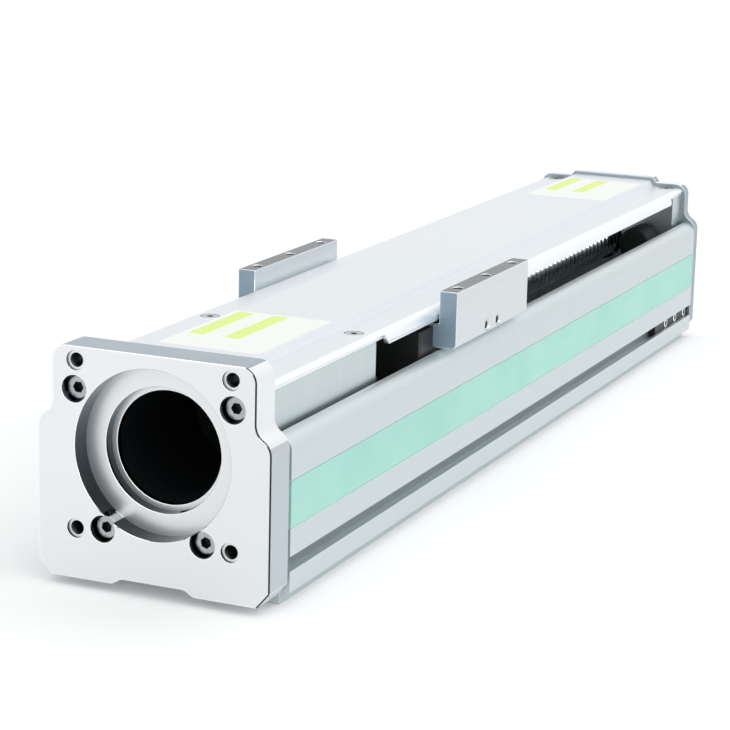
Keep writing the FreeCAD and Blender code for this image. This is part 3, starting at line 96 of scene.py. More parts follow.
# Places read from the CAD parts, and how far below the rails the base's inner walls start
SCREW_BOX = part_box("ball_screw")
AXIS = (SCREW_BOX[0].z + SCREW_BOX[1].z) / 2
PLATE_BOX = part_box("motor_flange")
COVER_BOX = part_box("top_cover")
REAR_PLATE_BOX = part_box("rear_plate")
HOUSING_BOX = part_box("front_housing")
REAR_HOUSING_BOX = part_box("rear_housing")
CARRIAGE_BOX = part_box("carriage_block")
CARRIAGE_MIDDLE = (CARRIAGE_BOX[0].x + CARRIAGE_BOX[1].x) / 2
RAIL_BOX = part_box("guide_rail_near")
RAIL_BED = 4 * MM

# Motor plate: the motor holes from the axis, both ways, the reach of the small holes' rims, the
# recess, and how much of the rounding those rims and the recess get
MOTOR_HOLE = 24.75 * MM
SMALL_RIM = 4.6 * MM
RECESS = 25 * MM
SMALL_SHARE = 0.3
RECESS_SHARE = 0.6

# Housings and cover: the reach of the bores, of the screws' mouths and of the rolled lips
HOUSING_BORE = 18.6 * MM
COVER_MOUTH = 3.6 * MM
LIP_WIDTH = 4 * MM

# Carriage: its tapped holes, and the underside, width and lower corner of its arms
TOP_HOLE_INSET = 3.05 * MM
TOP_HOLE_PITCH = 25 * MM
TOP_HOLE_RADIUS = 1.7 * MM
TOP_HOLE_DEPTH = 12 * MM
SIDE_HOLE_HEIGHT = 54.2 * MM
SIDE_HOLE_STEP = 5 * MM
SIDE_HOLE_RADIUS = 1.25 * MM
SIDE_HOLE_MOUTH = 2.2 * MM
SIDE_HOLE_RIM = 3 * MM
SIDE_HOLE_DEPTH = 6 * MM
ARM_BOTTOM = 51.3 * MM
ARM_REACH = 8.2 * MM
ARM_CORNER = 1.5 * MM
ARM_FILLED = 5.5 * MM

# Ball screw: how far the thread reaches into the housings, and its land as a share of the lead
THREAD_IN_FRONT = 3.5 * MM
THREAD_IN_REAR = 2.5 * MM
LAND = 0.28

# Screws in millimetres: head, its height or cone, shank, and half width of the key hole
PLATE_SCREW = (7, 4, 4, 1.75)
BASE_SCREW = (8.5, 5, 5, 2.35)
COVER_SCREW = (5.8, 1.4, 3, 1.1)
REAR_SCREW = (7.6, 1.8, 4, 1.45)
SET_SCREW_RADIUS = 2 * MM
SET_SCREW_KEY = 1.16 * MM

# Threads in millimetres: radius, pitch, and start and end below the mouth
MOTOR_THREAD = (2.1, 0.8, 0.9, 11)
TOP_THREAD = (1.7, 0.7, 0.5, 11)
SIDE_THREAD = (1.25, 0.5, 0.4, 5.5)


def setting(name, description, default, subtype="NONE", unit="NONE"):
    """One number that a user may change."""
    return FloatProperty(name=name, description=description, default=default, subtype=subtype,
                         unit=unit, min=0.0, precision=4)


def tint(name, description, default):
    """One colour that a user may change."""
    return FloatVectorProperty(name=name, description=description, default=default,
                               subtype="COLOR", size=3, min=0.0, max=1.0)


def length(name, description, millimetres):
    return setting(name, description, millimetres * MM, "DISTANCE", "LENGTH")


class StageForms(bpy.types.PropertyGroup):
    """Sizes of the fine parts."""
    plate_edge: length("Plate edges", "Rounding of the edges of both end plates", 0.4)
    profile_edge: length("Profile edges", "Rounding of the edges of the base", 0.12)
    cover_edge: length("Cover edges", "Rounding of the cut edges of the cover", 0.15)
    carriage_edge: length("Carriage edges", "Rounding of the edges of the carriage", 0.3)
    thread_lead: length("Lead", "Travel of the carriage for one turn of the screw", 5)
    thread_depth: length("Thread depth", "Depth of the ball track in the screw", 1.15)
    label_length: length("Label length", "Length of the blank labels", 51)
    label_width: length("Label width", "Width of the blank labels", 33)
    label_start: length("Label start", "Front edge of the first label behind the plate", 33)
    label_end: length("Label end", "Rear edge of the second label before the rear plate", 17.5)


class StageFinishes(bpy.types.PropertyGroup):
    """Colours of the finishes."""
    profile: tint("Profile", "Anodised base profile", (0.63, 0.69, 0.705))
    cover: tint("Cover", "Anodised sheet cover", (0.75, 0.79, 0.82))
    plate: tint("Motor plate", "Milled motor plate", (0.86, 0.89, 0.9))
    # Plate sides, rear plate and plate top are darker copies of the plate's metal: painted shade
    plate_side: tint("Plate sides", "Milled sides of the motor plate", (0.56, 0.61, 0.65))
    rear_plate: tint("Rear plate", "Sides of the rear plate", (0.36, 0.41, 0.45))
    plate_top: tint("Plate top", "Milled upper edge of the motor plate", (0.36, 0.43, 0.48))
    # Painted shade: the bore colour is a dark copy of the plate's metal, for the shade in the recess
    # and holes
    bore: tint("Bore", "Turned walls of the round recess", (0.11, 0.14, 0.17))
    block: tint("Housings", "Milled screw housings", (0.58, 0.65, 0.66))
    steel: tint("Ground steel", "Carriage, rails and nut", (0.68, 0.72, 0.74))
    # Painted shade with a bluish painted reflection: the ends of the carriage
    carriage_end: tint("Carriage ends", "Milled ends of the carriage", (0.3, 0.4, 0.49))
    socket: tint("Screws", "Plated screws", (0.5, 0.52, 0.54))
    strip: tint("Strip", "Coloured strips in the sides of the base", (0.36, 0.73, 0.63))
    black: tint("Black steel", "Oiled black nut bar and rings", (0.02, 0.022, 0.025))
    rubber: tint("Rubber", "Stops and seals", (0.008, 0.009, 0.01))
    brass: tint("Brass", "Grease nipples", (0.78, 0.6, 0.28))
    label: tint("Label", "Ground of the blank labels", (0.9, 0.92, 0.88))
    label_band: tint("Label band", "Bands of the blank labels", (0.74, 0.9, 0.22))


class StageStudio(bpy.types.PropertyGroup):
    """Camera and light."""
    lens: setting("Lens", "Focal length of the camera in millimetres", 118.151)
    sun: setting("Lamp", "Strength of the soft lamp over the stage", 1.7)
    side: setting("Side lamp", "Strength of the small low lamp beside the stage", 0.22)
    side_spread: setting("Side lamp spread", "How large the side lamp looks from the stage",
                         math.radians(12), "ANGLE", "ROTATION")
    spread: setting("Lamp spread", "How large the lamp looks from the stage", math.radians(100),
                    "ANGLE", "ROTATION")
    sky: setting("Sky", "Strength of the even light from all round", 0.52)
    glow: setting("Floor glow", "Light added to the floor where it is seen", 0.1)


def forms():
    return bpy.context.scene.stage_forms


def tints():
    return bpy.context.scene.stage_finishes


def studio():
    return bpy.context.scene.stage_studio


# Modelling

def clear_selection():
    if bpy.context.object and bpy.context.object.mode == "EDIT":
        bpy.ops.object.mode_set(mode="OBJECT")
    bpy.ops.object.select_all(action="DESELECT")


def pick(piece):
    """Select one piece alone and make it active."""
    clear_selection()
    piece.select_set(True)
    bpy.context.view_layer.objects.active = piece


def edit(piece):
    pick(piece)
    bpy.ops.object.mode_set(mode="EDIT")
    bpy.ops.mesh.select_mode(type="VERT")
    bpy.ops.mesh.select_all(action="SELECT")


def edit_some(piece, chosen):
    """Open a piece in edit mode with only the corners selected that chosen picks."""
    edit(piece)
    bpy.ops.mesh.select_all(action="DESELECT")
    close_edit()
    for vertex in piece.data.vertices:
        vertex.select = chosen(vertex.co)
    bpy.ops.object.mode_set(mode="EDIT")


def close_edit():
    bpy.ops.object.mode_set(mode="OBJECT")


def apply_modifier(piece, kind, **settings):
    pick(piece)
    modifier = piece.modifiers.new(kind.title(), kind)
    for key, value in settings.items():
        setattr(modifier, key, value)
    bpy.ops.object.modifier_apply(modifier=modifier.name)


def add_object(name, data):
    piece = bpy.data.objects.new(name, data)
    bpy.context.scene.collection.objects.link(piece)
    return piece


def fix_place():
    """Move the place, turn and size of what is selected into its mesh."""
    bpy.ops.object.transform_apply(location=True, rotation=True, scale=True)


def combine(piece, other, operation):
    """Join another solid to a piece or cut it out of it, and remove it."""
    apply_modifier(piece, "BOOLEAN", operation=operation, solver="EXACT", object=other)
    bpy.data.objects.remove(other)


def copy_of(node, name):
    """Copy of a CAD node, with its loose triangles merged into whole faces."""
    piece = add_object(name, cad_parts[node].data.copy())
    merge_flat(piece)
    return piece


def merge_flat(piece):
    """Weld corners that coincide and merge faces that lie in one plane."""
    edit(piece)
    bpy.ops.mesh.remove_doubles(threshold=WELD)
    bpy.ops.mesh.dissolve_limited(angle_limit=FLAT)
    close_edit()


def soften(piece, width, segments=2, share=None):
    """Round the outward edges, mark them as worn and keep the flat faces flat in the light."""
    mark_edges(piece, share)
    mesh = piece.data
    box = box_of(mesh)
    mesh.materials.clear()
    mesh.materials.append(None)
    mesh.materials.append(None)
    apply_modifier(piece, "BEVEL", width=width, segments=segments, limit_method="WEIGHT",
                   use_clamp_overlap=False, material=1)
    keep_within(mesh, box)
    worn = mesh.attributes.new("worn", "FLOAT", "FACE")
    for face in mesh.polygons:
        worn.data[face.index].value = float(face.material_index)
        face.material_index = 0
    smooth(piece)


def keep_within(mesh, box):
    """Bring the points of a mesh that stand outside a box back to its faces."""
    for vertex in mesh.vertices:
        vertex.co = [min(max(value, least), most) for value, least, most in zip(vertex.co, *box)]


def corners(points):
    """Lowest and highest corner of the box round some points."""
    return [Vector([extreme(point[axis] for point in points) for axis in range(3)])
            for extreme in (min, max)]


def box_of(mesh):
    return corners([vertex.co for vertex in mesh.vertices])


def mark_edges(piece, share):
    """Give each outward edge its share of the rounding, from its middle."""
    mesh = bmesh.new()
    mesh.from_mesh(piece.data)
    weight = mesh.edges.layers.float.new("bevel_weight_edge")
    for edge in mesh.edges:
        if len(edge.link_faces) == 2 and edge.calc_face_angle_signed() > SHARP:
            edge[weight] = share(sum((v.co for v in edge.verts), Vector()) / 2) if share else 1.0
    mesh.to_mesh(piece.data)
    mesh.free()


def smooth(piece):
    pick(piece)
    bpy.ops.object.shade_smooth_by_angle(angle=SMOOTH)
    apply_modifier(piece, "WEIGHTED_NORMAL", keep_sharp=True)


def chain(name, points):
    """Line of vertices, drawn by extruding the first one from point to point."""
    clear_selection()
    bpy.ops.mesh.primitive_plane_add(size=MM)
    piece = bpy.context.object
    piece.name = name
    edit(piece)
    bpy.ops.mesh.merge(type="CENTER")
    bpy.ops.transform.translate(value=points[0])
    for before, after in zip(points, points[1:]):
        bpy.ops.mesh.extrude_region_move(TRANSFORM_OT_translate={"value": after - before})
    bpy.ops.mesh.select_all(action="SELECT")
    return piece


def turned(name, profile, steps=48):
    """Solid turned about the Z axis, from radii and heights that start and end on it."""
    piece = chain(name, [Vector((radius, 0, height)) for radius, height in profile])
    bpy.ops.mesh.spin(steps=steps, angle=math.tau, center=(0, 0, 0), axis=(0, 0, 1))
    bpy.ops.mesh.select_all(action="SELECT")
    bpy.ops.mesh.remove_doubles(threshold=WELD)
    bpy.ops.mesh.normals_make_consistent(inside=False)
    close_edit()
    return piece


def rounded(profile, radius, steps=3):
    """The same radii and heights with each inner corner cut to a short arc."""
    points = [Vector(point) for point in profile]
    result = [points[0]]
    for before, corner, after in zip(points, points[1:], points[2:]):
        back, onward = before - corner, after - corner
        cut = min(radius, back.length / 2, onward.length / 2)
        start, end = corner + back.normalized() * cut, corner + onward.normalized() * cut
        for step in range(steps + 1):
            share = step / steps
            result.append(start * (1 - share) ** 2 + corner * 2 * share * (1 - share)
                          + end * share ** 2)
    return result + [points[-1]]


def blacken(piece, mouths, direction, radius, start=0.1 * MM, end=4 * MM):
    """Paint shade into round holes from start to end below their mouths."""
    def inside(place, normal):
        for mouth in mouths:
            depth = (place - mouth).dot(direction)
            off = (place - mouth - direction * depth).length
            if start < depth < end and off < radius + TOUCH:
                return True
        return False
    paint(piece, "shaded", inside)


def hexagon_cut(piece, radius, depth):
    """Cut a six-sided key hole into the end of a screw that stands at the origin."""
    clear_selection()
    bpy.ops.mesh.primitive_cylinder_add(vertices=6, radius=radius, depth=2 * depth)
    combine(piece, bpy.context.object, "DIFFERENCE")


def drill(piece, mouths, direction, radius, mouth_radius, depth):
    """Drill round holes and widen their mouths with cones of 45 degrees."""
    model = turned("drill", [(0, -MM), (mouth_radius + MM, -MM), (radius, mouth_radius - radius),
                             (radius, depth), (0, depth)], steps=32)
    for mouth in mouths:
        combine(piece, placed(model, "cutter", mouth, direction), "DIFFERENCE")
    bpy.data.objects.remove(model)


def placed(model, name, point, direction, roll=0.0):
    """Copy of a piece that stands at the origin along +Z, turned and put in its place."""
    copy = add_object(name, model.data.copy())
    turn = UP.rotation_difference(Vector(direction)).to_matrix().to_4x4()
    copy.matrix_world = Matrix.Translation(point) @ turn @ Matrix.Rotation(roll, 4, "Z")
    pick(copy)
    fix_place()
    return copy


def paint(piece, finish, chosen):
    """Give a second finish to the faces that chosen picks by their middle and normal."""
    index = len(piece.data.materials)
    piece.data.materials.append(FINISHES[finish]())
    for face in piece.data.polygons:
        if chosen(face.center, face.normal):
            face.material_index = index


def from_axis(point):
    return math.hypot(point.y, point.z - AXIS)


def inward(side):
    """The way from one side of the stage to its middle."""
    return Vector((0, -side, 0))


def joined(name, pieces):
    clear_selection()
    for piece in pieces:
        piece.select_set(True)
    bpy.context.view_layer.objects.active = pieces[0]
    bpy.ops.object.join()
    whole = bpy.context.object
    whole.name = name
    return whole


def repeated(model, name, places, direction, roll=0.0):
    """One piece of a copy at each place, each turned further than the last."""
    copies = [placed(model, f"{name}_{index}", place, direction, roll * index)
              for index, place in enumerate(places)]
    bpy.data.objects.remove(model)
    return joined(name, copies)


def dress(piece, finish):
    piece.data.materials.clear()
    piece.data.materials.append(FINISHES[finish]())


def settle(piece, body, finish, slot, *nodes):
    """Give a finished piece its material and the body that it moves with; the slot is not used."""
    dress(piece, finish)
    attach(piece, body)
    if nodes:
        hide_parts(*nodes)


def refined(node, name, finish, slot, width, segments=2, share=None):
    """Copy of a CAD node of the base, with rounded edges, that stands for it."""
    piece = copy_of(node, name)
    soften(piece, width, segments, share)
    settle(piece, "base", finish, slot, node)
    return piece


# Shader groups

def new_group(name, inputs, outputs):
    """Node group with named sockets; an input is its name, kind and default."""
    group = bpy.data.node_groups.new(name, "ShaderNodeTree")
    for socket, kind, default in inputs:
        made = group.interface.new_socket(socket, in_out="INPUT", socket_type="NodeSocket" + kind)
        if default is not None:
            made.default_value = default
    for socket, kind in outputs:
        group.interface.new_socket(socket, in_out="OUTPUT", socket_type="NodeSocket" + kind)
    return group, Nodes(group)


class Nodes:
    """Short ways to add and link the nodes of one tree."""

    def __init__(self, tree):
        self.tree = tree

    def add(self, kind, sockets=None, **settings):
        node = self.tree.nodes.new("ShaderNode" + kind)
        for key, value in settings.items():
            setattr(node, key, value)
        for key, value in (sockets or {}).items():
            self.feed(node.inputs[key], value)
        return node

    def feed(self, socket, value):
        if isinstance(value, bpy.types.NodeSocket):
            self.tree.links.new(value, socket)
        else:
            socket.default_value = value

    def group_input(self):
        return self.tree.nodes.new("NodeGroupInput").outputs

    def group_output(self, **values):
        node = self.tree.nodes.new("NodeGroupOutput")
        for key, value in values.items():
            self.feed(node.inputs[key.replace("_", " ")], value)

    def math(self, operation, *values):
        node = self.add("Math", operation=operation)
        for socket, value in zip(node.inputs, values):
            self.feed(socket, value)
        return node.outputs[0]

    def stretch(self, value, low, high, to_low=0.0, to_high=1.0):
        node = self.add("MapRange", {"Value": value, "From Min": low, "From Max": high,
                                     "To Min": to_low, "To Max": to_high})
        return node.outputs["Result"]

    def spread(self, noise, to_low=0.0, to_high=1.0):
        """Stretch the middle of a noise, where most of it lies, from one value to another."""
        return self.stretch(noise, 0.3, 0.7, to_low, to_high)

    def ramp(self, vector, axis, start, end, least):
        """Value that grows to 1 from one place along an axis to another."""
        along = self.add("SeparateXYZ", {"Vector": vector}).outputs[axis]
        return self.stretch(along, start, end, least)

    def noise(self, vector, scale, detail=3.0):
        node = self.add("TexNoise", {"Vector": vector, "Scale": scale, "Detail": detail})
        return node.outputs["Fac"]

    def colour(self, share, first, second, blend="MIX"):
        node = self.add("Mix", data_type="RGBA", blend_type=blend)
        for index, value in ((0, share), (6, first), (7, second)):
            self.feed(node.inputs[index], value)
        return node.outputs[2]

    def use(self, group, **values):
        node = self.tree.nodes.new("ShaderNodeGroup")
        node.node_tree = group
        for key, value in values.items():
            self.feed(node.inputs[key.replace("_", " ")], value)
        return node.outputs


def once(make):
    """The same group or material each time it is asked for."""
    kept = []

    def give():
        if not kept:
            kept.append(make())
        return kept[0]
    return give


@once
def grain():
    """Fine lines along the way in which the spread is small, and soft patches."""
    group, nodes = new_group(
        "Grain",
        [("Vector", "Vector", None), ("Spread", "Vector", ALONG_X)],
        [("Lines", "Float"), ("Patches", "Float")])
    inputs = nodes.group_input()
    spread = nodes.add("VectorMath", {0: inputs["Vector"], 1: inputs["Spread"]},
                       operation="MULTIPLY").outputs[0]
    nodes.group_output(Lines=nodes.noise(spread, 1.0), Patches=nodes.noise(inputs["Vector"], 38.0))
    return group


@once
def turning_rings():
    """Fine rings round the screw axis, as left by a lathe or a face mill, and a painted side shade
    that grows from the upper +Y side of the axis to its lower -Y side.
    """
    group, nodes = new_group(
        "Turning rings",
        [("Vector", "Vector", None), ("Axis height", "Float", AXIS), ("Pitch", "Float", 0.00025)],
        [("Rings", "Float"), ("Rays", "Float")])
    inputs = nodes.group_input()
    place = nodes.add("SeparateXYZ", {"Vector": inputs["Vector"]}).outputs
    rise = nodes.math("SUBTRACT", place["Z"], inputs["Axis height"])
    radius = nodes.math("SQRT", nodes.math("ADD", nodes.math("MULTIPLY", place["Y"], place["Y"]),
                                           nodes.math("MULTIPLY", rise, rise)))
    line = nodes.add("CombineXYZ", {"X": nodes.math("DIVIDE", radius, inputs["Pitch"]),
                                    "Y": nodes.math("MULTIPLY", place["X"], 4000.0)})
    # Painted shade: 0 on the upper +Y side of the screw axis, 1 on its lower -Y side
    turn = nodes.math("SUBTRACT", nodes.math("ARCTAN2", rise, place["Y"]), math.pi / 4)
    painted_side_shade = nodes.stretch(nodes.math("COSINE", turn), 1.0, -1.0)
    nodes.group_output(Rings=nodes.noise(line.outputs[0], 1.0, 2.0), Rays=painted_side_shade)
    return group


@once
def handled():
    """Lighter worn edges, and faint smears where hands and cloths have been."""
    group, nodes = new_group(
        "Handled",
        [("Vector", "Vector", None), ("Smear size", "Float", 60.0)],
        [("Edges", "Float"), ("Smears", "Float")])
    inputs = nodes.group_input()
    edge = nodes.add("Attribute", attribute_name="worn").outputs["Fac"]
    broken = nodes.math("MULTIPLY", edge,
                        nodes.stretch(nodes.noise(inputs["Vector"], 300.0), 0.2, 0.4))
    smears = nodes.add("TexNoise", {"Vector": inputs["Vector"], "Scale": inputs["Smear size"],
                                    "Detail": 4.0, "Distortion": 0.6}).outputs["Fac"]
    nodes.group_output(Edges=broken, Smears=nodes.stretch(smears, 0.4, 0.7))
    return group


# Finishes

def new_material(name):
    material = bpy.data.materials.new(name)
    material.use_nodes = True
    material.node_tree.nodes.clear()
    nodes = Nodes(material.node_tree)
    shader = nodes.add("BsdfPrincipled")
    nodes.add("OutputMaterial", {"Surface": shader.outputs["BSDF"]})
    return material, nodes, shader, nodes.add("TexCoord").outputs["Object"]


def surface(nodes, shader, colour, roughness, height, depth):
    """Give a shader its colour, its roughness and a fine relief of the depth given."""
    bump = nodes.add("Bump", {"Height": height, "Distance": depth, "Strength": 1.0})
    for socket, value in (("Base Color", colour), ("Roughness", roughness),
                          ("Normal", bump.outputs["Normal"])):
        nodes.feed(shader.inputs[socket], value)


def rgb(values, factor=1.0):
    return tuple(min(value * factor, 1.0) for value in values) + (1.0,)


def metal(name, base, roughness, metallic=1.0, along=ALONG_X, depth=0.1e-6, dark=0.96,
          shadow=None):
    """Metal with lines of grain, worn edges and faint smears, and its own shadow if it has one."""
    material, nodes, shader, place = new_material(name)
    marks = nodes.use(grain(), Vector=place, Spread=along)
    wear = nodes.use(handled(), Vector=place)
    body = nodes.colour(nodes.spread(marks["Lines"]), rgb(base, dark), rgb(base))
    body = nodes.colour(nodes.math("MULTIPLY", wear["Smears"], 0.1), body, rgb(base, dark))
    body = nodes.colour(wear["Edges"], body, rgb(base, WORN))
    if shadow:
        body = nodes.colour(1.0, body, shadow(nodes, place), "MULTIPLY")
    uneven = nodes.spread(marks["Patches"], roughness * 0.95, roughness * 1.04)
    rubbed = nodes.math("MULTIPLY", wear["Edges"], roughness * 0.6)
    shader.inputs["Metallic"].default_value = metallic
    surface(nodes, shader, body, nodes.math("SUBTRACT", uneven, rubbed), marks["Lines"], depth)
    return material


def painted_recess_shade(nodes, place):
    """Painted shade: darker towards the bottom of the round recess."""
    return nodes.ramp(place, "Z", AXIS - 16 * MM, AXIS + 24 * MM, 0.12)


def painted_inside_shade(nodes, place):
    """Painted shade: dark below the upper edges of the base, behind the front housing, where the
    cover shades the inside.
    """
    front = HOUSING_BOX[1].x
    return nodes.math("MAXIMUM", nodes.ramp(place, "X", front, front - 2 * MM, 0.06),
                      nodes.ramp(place, "Z", 36 * MM, 42 * MM, 0.06))


def milled(name, base):
    """Milled face with the fine rings of the tool that cut it, and painted shade towards its lower
    -Y side.
    """
    material, nodes, shader, place = new_material(name)
    marks = nodes.use(turning_rings(), Vector=place)
    wear = nodes.use(handled(), Vector=place)
    body = nodes.colour(nodes.spread(marks["Rings"]), rgb(base, 0.96), rgb(base))
    # Painted shade: the face is darkened towards its lower -Y side
    body = nodes.colour(marks["Rays"], body, rgb(base, 0.93))
    body = nodes.colour(wear["Edges"], body, rgb(base, WORN))
    uneven = nodes.stretch(wear["Smears"], 0.0, 1.0, 0.34, 0.37)
    rubbed = nodes.math("MULTIPLY", wear["Edges"], 0.24)
    shader.inputs["Metallic"].default_value = 0.85
    surface(nodes, shader, body, nodes.math("SUBTRACT", uneven, rubbed), marks["Rings"], 0.12e-6)
    return material


def soft_black(name, base, roughness, scale, depth):
    """Moulded rubber or plastic with a fine even grain."""
    material, nodes, shader, place = new_material(name)
    fine = nodes.noise(place, scale)
    wear = nodes.use(handled(), Vector=place)
    body = nodes.colour(nodes.spread(fine), rgb(base, 0.8), rgb(base, 1.3))
    body = nodes.colour(nodes.math("MULTIPLY", wear["Smears"], 0.3), body, rgb(base, 2.2))
    uneven = nodes.spread(fine, roughness - 0.08, roughness + 0.08)
    surface(nodes, shader, body, uneven, fine, depth)
    return material


def strip_film(name, base):
    """Smooth coloured strip, a little uneven and dusty along its length."""
    material, nodes, shader, place = new_material(name)
    marks = nodes.use(grain(), Vector=place, Spread=(9.0, 900.0, 900.0))
    wear = nodes.use(handled(), Vector=place, Smear_size=26.0)
    body = nodes.colour(nodes.spread(marks["Patches"]), rgb(base, 0.96), rgb(base, 1.03))
    body = nodes.colour(nodes.math("MULTIPLY", wear["Smears"], 0.08), body, (1, 1, 1, 1))
    shader.inputs["Coat Weight"].default_value = 0.15
    shader.inputs["Coat Roughness"].default_value = 0.3
    lines = marks["Lines"]
    surface(nodes, shader, body, nodes.spread(lines, 0.4, 0.5), lines, 1e-6)
    return material


def label_film(name, base):
    """Blank printed label: a pale ground and two plain bands, with no words or signs."""
    material, nodes, shader, place = new_material(name)
    spot = nodes.add("SeparateXYZ", {"Vector": nodes.add("UVMap").outputs["UV"]}).outputs

    def within(value, low, high):
        return nodes.math("MULTIPLY", nodes.math("GREATER_THAN", value, low),
                          nodes.math("LESS_THAN", value, high))

    rows = nodes.math("ADD", within(spot["Y"], 0.78, 0.94), within(spot["Y"], 0.42, 0.58))
    bands = nodes.math("MULTIPLY", rows, within(spot["X"], 0.3, 0.97))
    fibre = nodes.noise(place, 700.0)
    ground = nodes.colour(fibre, rgb(base, 0.96), rgb(base))
    ink = nodes.colour(fibre, rgb(tints().label_band, 0.94), rgb(tints().label_band))
    print_colour = nodes.colour(bands, ground, ink)
    surface(nodes, shader, print_colour, nodes.spread(fibre, 0.35, 0.45), fibre, 2e-6)
    return material


def tinted(make, name, colour, factor=1.0, **settings):
    """Way to make a material, once, from one of the user's colours made lighter or darker."""
    def give():
        return make(name, [value * factor for value in getattr(tints(), colour)], **settings)
    return once(give)


# What the finishes are made with: a function, the material's name, its colour and its settings
FINISHES = {
    "profile": tinted(metal, "satin_profile", "profile", roughness=0.42, metallic=0.8),
    # Painted shade: the base's own metal, darkened inside where the cover shades it
    "inside": tinted(metal, "greased_inside", "profile", roughness=0.45, metallic=0.6,
                     shadow=painted_inside_shade),
    "cover": tinted(metal, "satin_cover", "cover", roughness=0.36, metallic=0.85, dark=0.98),
    # Painted highlight: the rolled lips of the cover, a lighter copy of the cover's metal
    "painted_lip_highlight": tinted(metal, "rolled_lip", "cover", 1.18, roughness=0.4, metallic=0.7,
                        dark=0.98),
    "housing": tinted(metal, "milled_housing", "block", roughness=0.36, along=ALONG_Z,
                      dark=0.95),
    "plate": tinted(milled, "milled_plate", "plate"),
    # Painted shade: darker copies of the milled metal for the plates' tops and sides
    "plate_top": tinted(milled, "milled_plate_top", "plate_top"),
    "plate_side": tinted(milled, "milled_plate_side", "plate_side"),
    "rear_plate": tinted(milled, "milled_rear_plate", "rear_plate"),
    # Painted shade: dark walls of the recess and holes, darker still towards the recess bottom
    "bore": tinted(metal, "turned_bore", "bore", roughness=0.2, along=ACROSS_X, dark=0.7,
                   depth=0.2e-6, shadow=painted_recess_shade),
    # Painted shade: near black, for the inside of holes, key holes and bores
    "shaded": tinted(metal, "dark_bore", "bore", 0.15, roughness=0.5, metallic=0.4,
                     along=ACROSS_X, dark=0.7),
    "ground": tinted(metal, "ground_steel", "steel", roughness=0.3, dark=0.95),
    # Painted shade: the carriage's top, a darkened copy of its ground steel
    "machined_top": tinted(metal, "machined_top", "steel", 0.31, roughness=0.4, dark=0.95),
    # Painted shade and a bluish painted reflection on the carriage's ends
    "carriage_end": tinted(metal, "milled_carriage_end", "carriage_end", roughness=0.5,
                           metallic=0.3, along=ALONG_Z),
    "hard": tinted(metal, "hard_steel", "steel", 0.9, roughness=0.18),
    "bright": tinted(metal, "bright_steel", "steel", 1.15, roughness=0.2),
    "screw": tinted(metal, "plated_screw", "socket", roughness=0.3, along=EVEN, dark=0.8),
    # Painted shade: the threads in the tapped holes, a darkened copy of the screws' metal
    "thread": tinted(metal, "cut_thread", "socket", 0.25, roughness=0.25, along=EVEN),
    "black": tinted(metal, "black_steel", "black", roughness=0.42, metallic=0.6, along=EVEN),
    "brass": tinted(metal, "plain_brass", "brass", roughness=0.28, along=EVEN),
    "rubber": tinted(soft_black, "black_rubber", "rubber", roughness=0.62, scale=1800.0,
                     depth=6e-6),
    "plastic": tinted(soft_black, "black_plastic", "rubber", 1.4, roughness=0.45, scale=2600.0,
                      depth=3e-6),
    "strip": tinted(strip_film, "strip_film", "strip"),
    "label": tinted(label_film, "label_film", "label"),
}


# Pieces

def finished():
    clear_selection()
    return {"FINISHED"}


class STAGE_OT_base(bpy.types.Operator):
    """Base profile with finely rounded edges, and its two coloured strips"""
    bl_idname = "stage.base"
    bl_label = "Base profile"

    def execute(self, context):
        edge = forms().profile_edge
        piece = refined("base_extrusion", "base_profile", "profile", "aluminium_satin", edge)
        wall, floor = TOUCH - RAIL_BOX[0].y, RAIL_BOX[0].z - RAIL_BED
        # Painted shade on the inner faces of the base, between its walls
        paint(piece, "inside", lambda place, normal: abs(place.y) < wall and place.z > floor)
        for side in ("near", "far"):
            refined(f"side_strip_{side}", f"coloured_strip_{side}", "strip", "strip_green", edge / 2)
        return finished()


class STAGE_OT_motor_plate(bpy.types.Operator):
    """Motor plate with rounded edges round its stepped bore"""
    bl_idname = "stage.motor_plate"
    bl_label = "Motor plate"

    def execute(self, context):
        holes = plate_holes()
        high = PLATE_BOX[1]

        def share(place):
            """How much of the rounding an edge gets: less of it round the holes."""
            return next((part for hole, radius, part in holes
                         if (place - hole).yz.length < radius), 1.0)

        # Painted shade on the walls of the recess and the holes, and a painted dark line on the near
        # half of the recess rim
        def in_hole(place, normal):
            wall = abs(normal.x) < ACROSS and share(place) < 1
            mouth = -ALONG < normal.x < -ACROSS and abs(from_axis(place) - RECESS) < MM
            return wall or (mouth and place.y < 0)

        piece = refined("motor_flange", "motor_plate", "plate", "aluminium_milled",
                        forms().plate_edge, segments=3, share=share)
        paint(piece, "bore", in_hole)
        # Painted shade: the plate's top and sides darker than its face
        paint(piece, "plate_top",
              lambda place, normal: normal.z > ALONG and place.z > high.z - MM)
        paint(piece, "plate_side",
              lambda place, normal: abs(normal.y) > ALONG and abs(place.y) > high.y - MM)
        # Painted shade: a thin dark line along the rounded front edge of the plate's near side
        paint(piece, "shaded", lambda place, normal: normal.x < -TURNED and normal.y < -TURNED
              and place.y < -MOTOR_HOLE)
        return finished()


def motor_holes():
    return [Vector((PLATE_BOX[0].x, side * MOTOR_HOLE, AXIS + level * MOTOR_HOLE))
            for side in SIDES for level in SIDES]


def plate_holes():
    """Middle, reach and share of rounding of the recess, motor holes and counterbores."""
    small = motor_holes() + heads("motor_flange_screws", AHEAD)
    recess = (Vector((0, 0, AXIS)), RECESS + MM, RECESS_SHARE)
    return [(hole, SMALL_RIM, SMALL_SHARE) for hole in small] + [recess]


